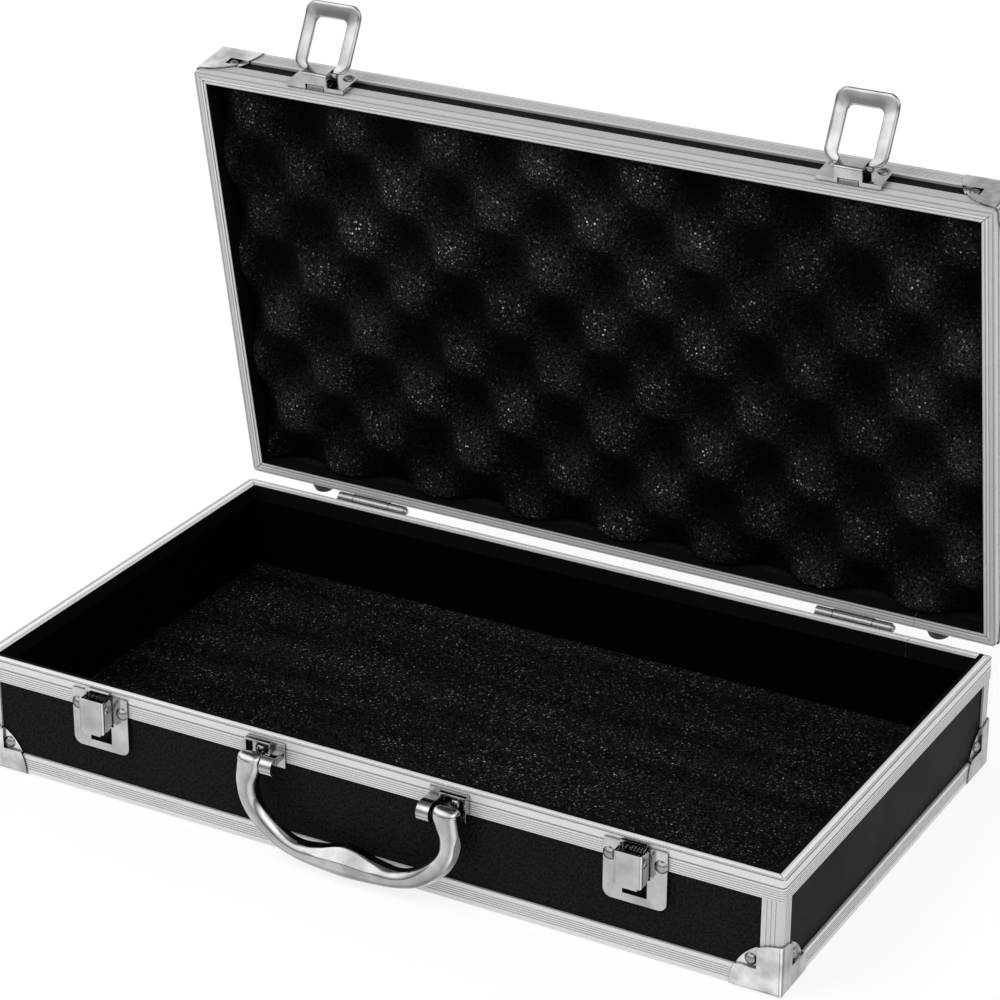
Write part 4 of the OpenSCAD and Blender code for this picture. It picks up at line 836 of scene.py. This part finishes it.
def handle():
    """Cast bail handle: capsule-shaped tops, curved legs with a flat inner facet, and a grip that
    swells in the middle, with a flat lens-shaped facet low on its front."""
    stations = handle_stations()
    bm = bmesh.new()
    place = base_place()
    rings = []
    for i, (x, z, w, t, square) in enumerate(stations):
        x0, z0 = stations[max(i - 1, 0)][:2]
        x1, z1 = stations[min(i + 1, len(stations) - 1)][:2]
        step = math.hypot(x1 - x0, z1 - z0)
        tx, tz = (x1 - x0) / step, (z1 - z0) / step
        facets = handle_facets(x, z, w, t)
        ring = []
        for k in range(HANDLE_SIDES):
            u, v = handle_ring(math.tau * (k + 0.5) / HANDLE_SIDES, w, t, square, facets)
            point = Vector((x + tz * u, -HALF_D - HANDLE_OUT - v, z - tx * u))
            ring.append(bm.verts.new(place @ point))
        rings.append(ring)
    tube_faces(bm, rings)
    o = new_piece("carrying_handle", bm, PLATED_CAST, "handle", ("handle",))
    o.data.set_sharp_from_angle(angle=HANDLE_SHARP)


handle()


# ---------------------------------------------------------------- hasp loops


# The loops' pivots, in millimetres: in front of the case, over the parting line, out from its middle
BAR_OUT = 6.3
BAR_RISE = 7.2
LATCH_X = 133.4
# How far the loops are swung up at rest, from hanging straight down in front of the shut case
LOOP_ANGLE = math.radians(128)
# Outer width and length, width of the gap, start of the crossbar, radii of outer and inner corners
LOOP_W, LOOP_L, LOOP_GAP = 30.0, 33.0, 17.0
CROSSBAR = 25.8
LOOP_R, LOOP_GAP_R = 5.5, 2.8
# The crossbar is bent back, over a soft bend that reaches as far as this both ways
LOOP_BEND = math.tan(math.radians(12))
BEND_SOFT = 1.3
# Half length of the pivot bar, half the gap beside it, where the shoulders start under its axis, and
# how much shorter their inner edges are
BAR_HALF = 9.2
NECK_HALF = 6.85
LEG_START = 0.6
SHOULDER_SHORT = 0.2
# Where along the shoulder the gap starts to widen, and over how much of it, as shares
WIDEN_START, WIDEN_SPAN = 0.35, 0.4
# Steps along the shoulder, the leg, the corner and half the crossbar
SHOULDER_STEPS, LEG_STEPS, CORNER_STEPS, CROSS_STEPS = 12, 20, 14, 6
# Half thickness of the strip, and how wide its outer and inner edges are rounded
STRIP_HALF = 1.0
STRIP_OUTER = 2.0
STRIP_INNER = 0.5
# The pivots: places along the bar with the radius there, and points round them
PIVOT_RINGS = ((-9.2, 1.0), (-9.05, 1.3), (-8.8, 1.4), (8.8, 1.4), (9.05, 1.3), (9.2, 1.0))
PIVOT_SIDES = 32
LOOP_SHARP = math.radians(40)


def loop_half():
    """Pairs of inner and outer edge points, from a pivot up the leg to the middle of the crossbar."""
    half_w, half_gap = LOOP_W / 2, LOOP_GAP / 2
    r = half_w - BAR_HALF
    foot_z = -LEG_START - r
    pairs = []
    for k in range(SHOULDER_STEPS + 1):
        t = k / SHOULDER_STEPS
        f = math.pi / 2 * (1 - t)
        inner_x = NECK_HALF + (half_gap - NECK_HALF) * share(t, WIDEN_START, WIDEN_SPAN)
        inner = (inner_x, -LEG_START - t * (r - SHOULDER_SHORT))
        pairs.append((inner, (BAR_HALF + r * math.cos(f), foot_z + r * math.sin(f))))
    top_in, top_out = -CROSSBAR + LOOP_GAP_R, -LOOP_L + LOOP_R
    for k in range(1, LEG_STEPS + 1):
        t = k / LEG_STEPS
        inner = (half_gap, foot_z + (top_in - foot_z) * t)
        pairs.append((inner, (half_w, foot_z + (top_out - foot_z) * t)))
    for k in range(1, CORNER_STEPS + 1):
        f = math.pi / 2 * k / CORNER_STEPS
        c, d = math.cos(f), math.sin(f)
        inner = (half_gap - LOOP_GAP_R * (1 - c), top_in - LOOP_GAP_R * d)
        pairs.append((inner, (half_w - LOOP_R * (1 - c), top_out - LOOP_R * d)))
    (ix, iz), (ox, oz) = pairs[-1]
    for k in range(1, CROSS_STEPS + 1):
        t = 1 - k / CROSS_STEPS
        pairs.append(((ix * t, iz), (ox * t, oz)))
    return pairs


def loop_section(width):
    """Cross-section of the loop: distance from the inner edge, and height over its middle plane."""
    upper = []
    for degrees in range(0, 91, 15):
        f = math.radians(degrees)
        upper.append((width - STRIP_OUTER * (1 - math.cos(f)), STRIP_HALF * math.sin(f)))
    for f in (0.0, 0.4, 0.8, 1.2, 1.57):
        upper.append((STRIP_INNER * (1 - math.sin(f)), STRIP_HALF - STRIP_INNER * (1 - math.cos(f))))
    return upper + [(a, -b) for a, b in reversed(upper[1:])]


def bent(z):
    """How far the loop lies back at a height, past its bend."""
    past = -z - CROSSBAR
    if past < BEND_SOFT:
        past = max(0.0, past + BEND_SOFT) ** 2 / (4 * BEND_SOFT)
    return LOOP_BEND * past


def hasp_loop(side, name):
    """Loop of flat strip: two pivots, curved shoulders, straight legs and a crossbar bent back."""
    half = loop_half()
    pairs = half + [((-i[0], i[1]), (-o[0], o[1])) for i, o in reversed(half[:-1])]
    pivot = Matrix.Translation((side * LATCH_X, -HALF_D - BAR_OUT, BASE_H + BAR_RISE))
    place = lid_place() @ (pivot @ Matrix.Rotation(-LOOP_ANGLE, 4, "X"))
    bm = bmesh.new()

    def corner(x, out, z):
        return bm.verts.new(place @ Vector((x, -out, z)))

    rings = []
    for (ix, iz), (ox, oz) in pairs:
        width = math.hypot(ox - ix, oz - iz)
        ring = []
        for along, height in loop_section(width):
            t = along / width
            x, z = ix + (ox - ix) * t, iz + (oz - iz) * t
            ring.append(corner(x, height - bent(z), z))
        rings.append(ring)
    tube_faces(bm, rings)
    turns = [math.tau * k / PIVOT_SIDES for k in range(PIVOT_SIDES)]
    tube_faces(bm, [[corner(x, r * math.cos(a), r * math.sin(a)) for a in turns]
                    for x, r in PIVOT_RINGS])
    o = new_piece("hasp_loop_formed_" + name, bm, PLATED_LOOP, "hasp_" + name,
                  ("hasp_loop_" + name,))
    o.data.set_sharp_from_angle(angle=LOOP_SHARP)


for side, name in ((-1, "left"), (1, "right")):
    hasp_loop(side, name)


# ---------------------------------------------------------------- camera, floor and light


# Solved from the case's edges in the photo
PHOTO_PX = 1000
FOCAL_PX = 3306.8
SENSOR = 36
CAMERA_AT = (0.6523, -1.1614 + CASE_Y * MM, 0.7419)
YAW = math.radians(-29.07)
PITCH = math.radians(24.57)
ROLL = math.radians(0.18)


def camera():
    """The photo's camera: where it stands, how it is turned, and its lens."""
    cam = bpy.data.cameras.new("camera")
    obj = bpy.data.objects.new("camera", cam)
    bpy.context.scene.collection.objects.link(obj)
    cam.sensor_width = SENSOR
    cam.sensor_height = SENSOR
    cam.sensor_fit = "HORIZONTAL"
    cam.lens = FOCAL_PX * SENSOR / PHOTO_PX
    cam.clip_start = 0.05
    cam.clip_end = 50
    fwd = Vector((math.sin(YAW) * math.cos(PITCH), math.cos(YAW) * math.cos(PITCH), -math.sin(PITCH)))
    level = Vector((math.cos(YAW), -math.sin(YAW), 0))
    right = level * math.cos(ROLL) + level.cross(fwd) * math.sin(ROLL)
    turn = Matrix((right, right.cross(fwd), -fwd)).transposed()
    obj.matrix_world = Matrix.Translation(CAMERA_AT) @ turn.to_4x4()
    bpy.context.scene.camera = obj


# How much of the floor's tone, as seen directly or mirrored, is plain white
FLOOR_LIFT = 0.82
FLOOR_SIZE = 6
FLOOR_DROP = 0.0002


def floor():
    """Seamless pale floor that shows white to the camera and keeps the object's shadow."""
    bm = bmesh.new()
    bmesh.ops.create_grid(bm, x_segments=2, y_segments=2, size=FLOOR_SIZE)
    me = bpy.data.meshes.new("floor")
    bm.to_mesh(me)
    bm.free()
    o = bpy.data.objects.new("floor", me)
    o.location.z = -FLOOR_DROP
    bpy.context.scene.collection.objects.link(o)
    m, n, l, b = material("floor_white", grey(0.94), 0.9)
    b.inputs["Specular IOR Level"].default_value = 0.0
    path = add(n, "ShaderNodeLightPath")
    through = maths(n, l, "MAXIMUM", path.outputs["Is Glossy Ray"], path.outputs["Is Transmission Ray"])
    seen = maths(n, l, "MAXIMUM", path.outputs["Is Camera Ray"], through)
    white = add(n, "ShaderNodeEmission")
    white.inputs["Strength"].default_value = 1.0
    mix = add(n, "ShaderNodeMixShader")
    l.new(maths(n, l, "MULTIPLY", seen, FLOOR_LIFT), mix.inputs[0])
    l.new(b.outputs[0], mix.inputs[1])
    l.new(white.outputs[0], mix.inputs[2])
    l.new(mix.outputs[0], n["Material Output"].inputs["Surface"])
    me.materials.append(m)


LAMP_AIM = (0, 0, 0.1)


def area(name, location, size, power):
    """Soft lamp that polished parts don't mirror."""
    light = bpy.data.lights.new(name, "AREA")
    light.shape = "RECTANGLE"
    light.size, light.size_y = size
    light.energy = power
    o = bpy.data.objects.new(name, light)
    o.location = location
    o.rotation_euler = (Vector(LAMP_AIM) - Vector(location)).to_track_quat("-Z", "Y").to_euler()
    o.visible_glossy = False
    bpy.context.scene.collection.objects.link(o)


# Brightness of the room from straight down, 0, over the horizon, 0.5, to straight up, 1
FRONT_WALL = [(0.50, 0.42), (0.58, 0.32), (0.69, 0.95), (0.79, 1.6), (0.90, 1.5), (0.96, 0.2),
              (0.985, 0.25), (1.0, 0.5)]
BACK_WALL = [(0.50, 0.85), (0.62, 1.1), (0.74, 1.25), (0.88, 0.12), (0.95, 0.12), (0.98, 0.5),
             (1.0, 0.5)]


def world():
    """Studio room for polished parts to mirror: soft walls, darker towards the ceiling."""
    w = bpy.data.worlds.new("studio")
    w.use_nodes = True
    n, l = w.node_tree.nodes, w.node_tree.links
    bg = n["Background"]
    tc = add(n, "ShaderNodeTexCoord")
    xyz = add(n, "ShaderNodeSeparateXYZ")
    l.new(tc.outputs["Generated"], xyz.inputs[0])
    up = maths(n, l, "ADD", maths(n, l, "MULTIPLY", xyz.outputs["Z"], 0.5), 0.5)
    back = maths(n, l, "ADD", maths(n, l, "MULTIPLY", xyz.outputs["Y"], 0.5), 0.5)
    front_wall = ramp(n, l, up, [(at, grey(tone)) for at, tone in FRONT_WALL])
    back_wall = ramp(n, l, up, [(at, grey(tone)) for at, tone in BACK_WALL])
    side = ramp(n, l, back, [(0.35, grey(0.0)), (0.65, grey(1.0))])
    room = add(n, "ShaderNodeMix", data_type="RGBA")
    l.new(side, room.inputs["Factor"])
    l.new(front_wall, room.inputs[MIX_A])
    l.new(back_wall, room.inputs[MIX_B])
    l.new(room.outputs[MIX_OUT], bg.inputs["Color"])
    bg.inputs["Strength"].default_value = 1.0
    bpy.context.scene.world = w


camera()
floor()
world()
area("key", (-1.2, -1.3, 2.2), size=(1.6, 1.6), power=33)
area("fill", (1.8, -1.6, 1.4), size=(1.2, 1.6), power=7)
area("back", (0.2, 1.8, 1.8), size=(2.0, 1.0), power=14)

bpy.context.scene.view_settings.view_transform = "Standard"
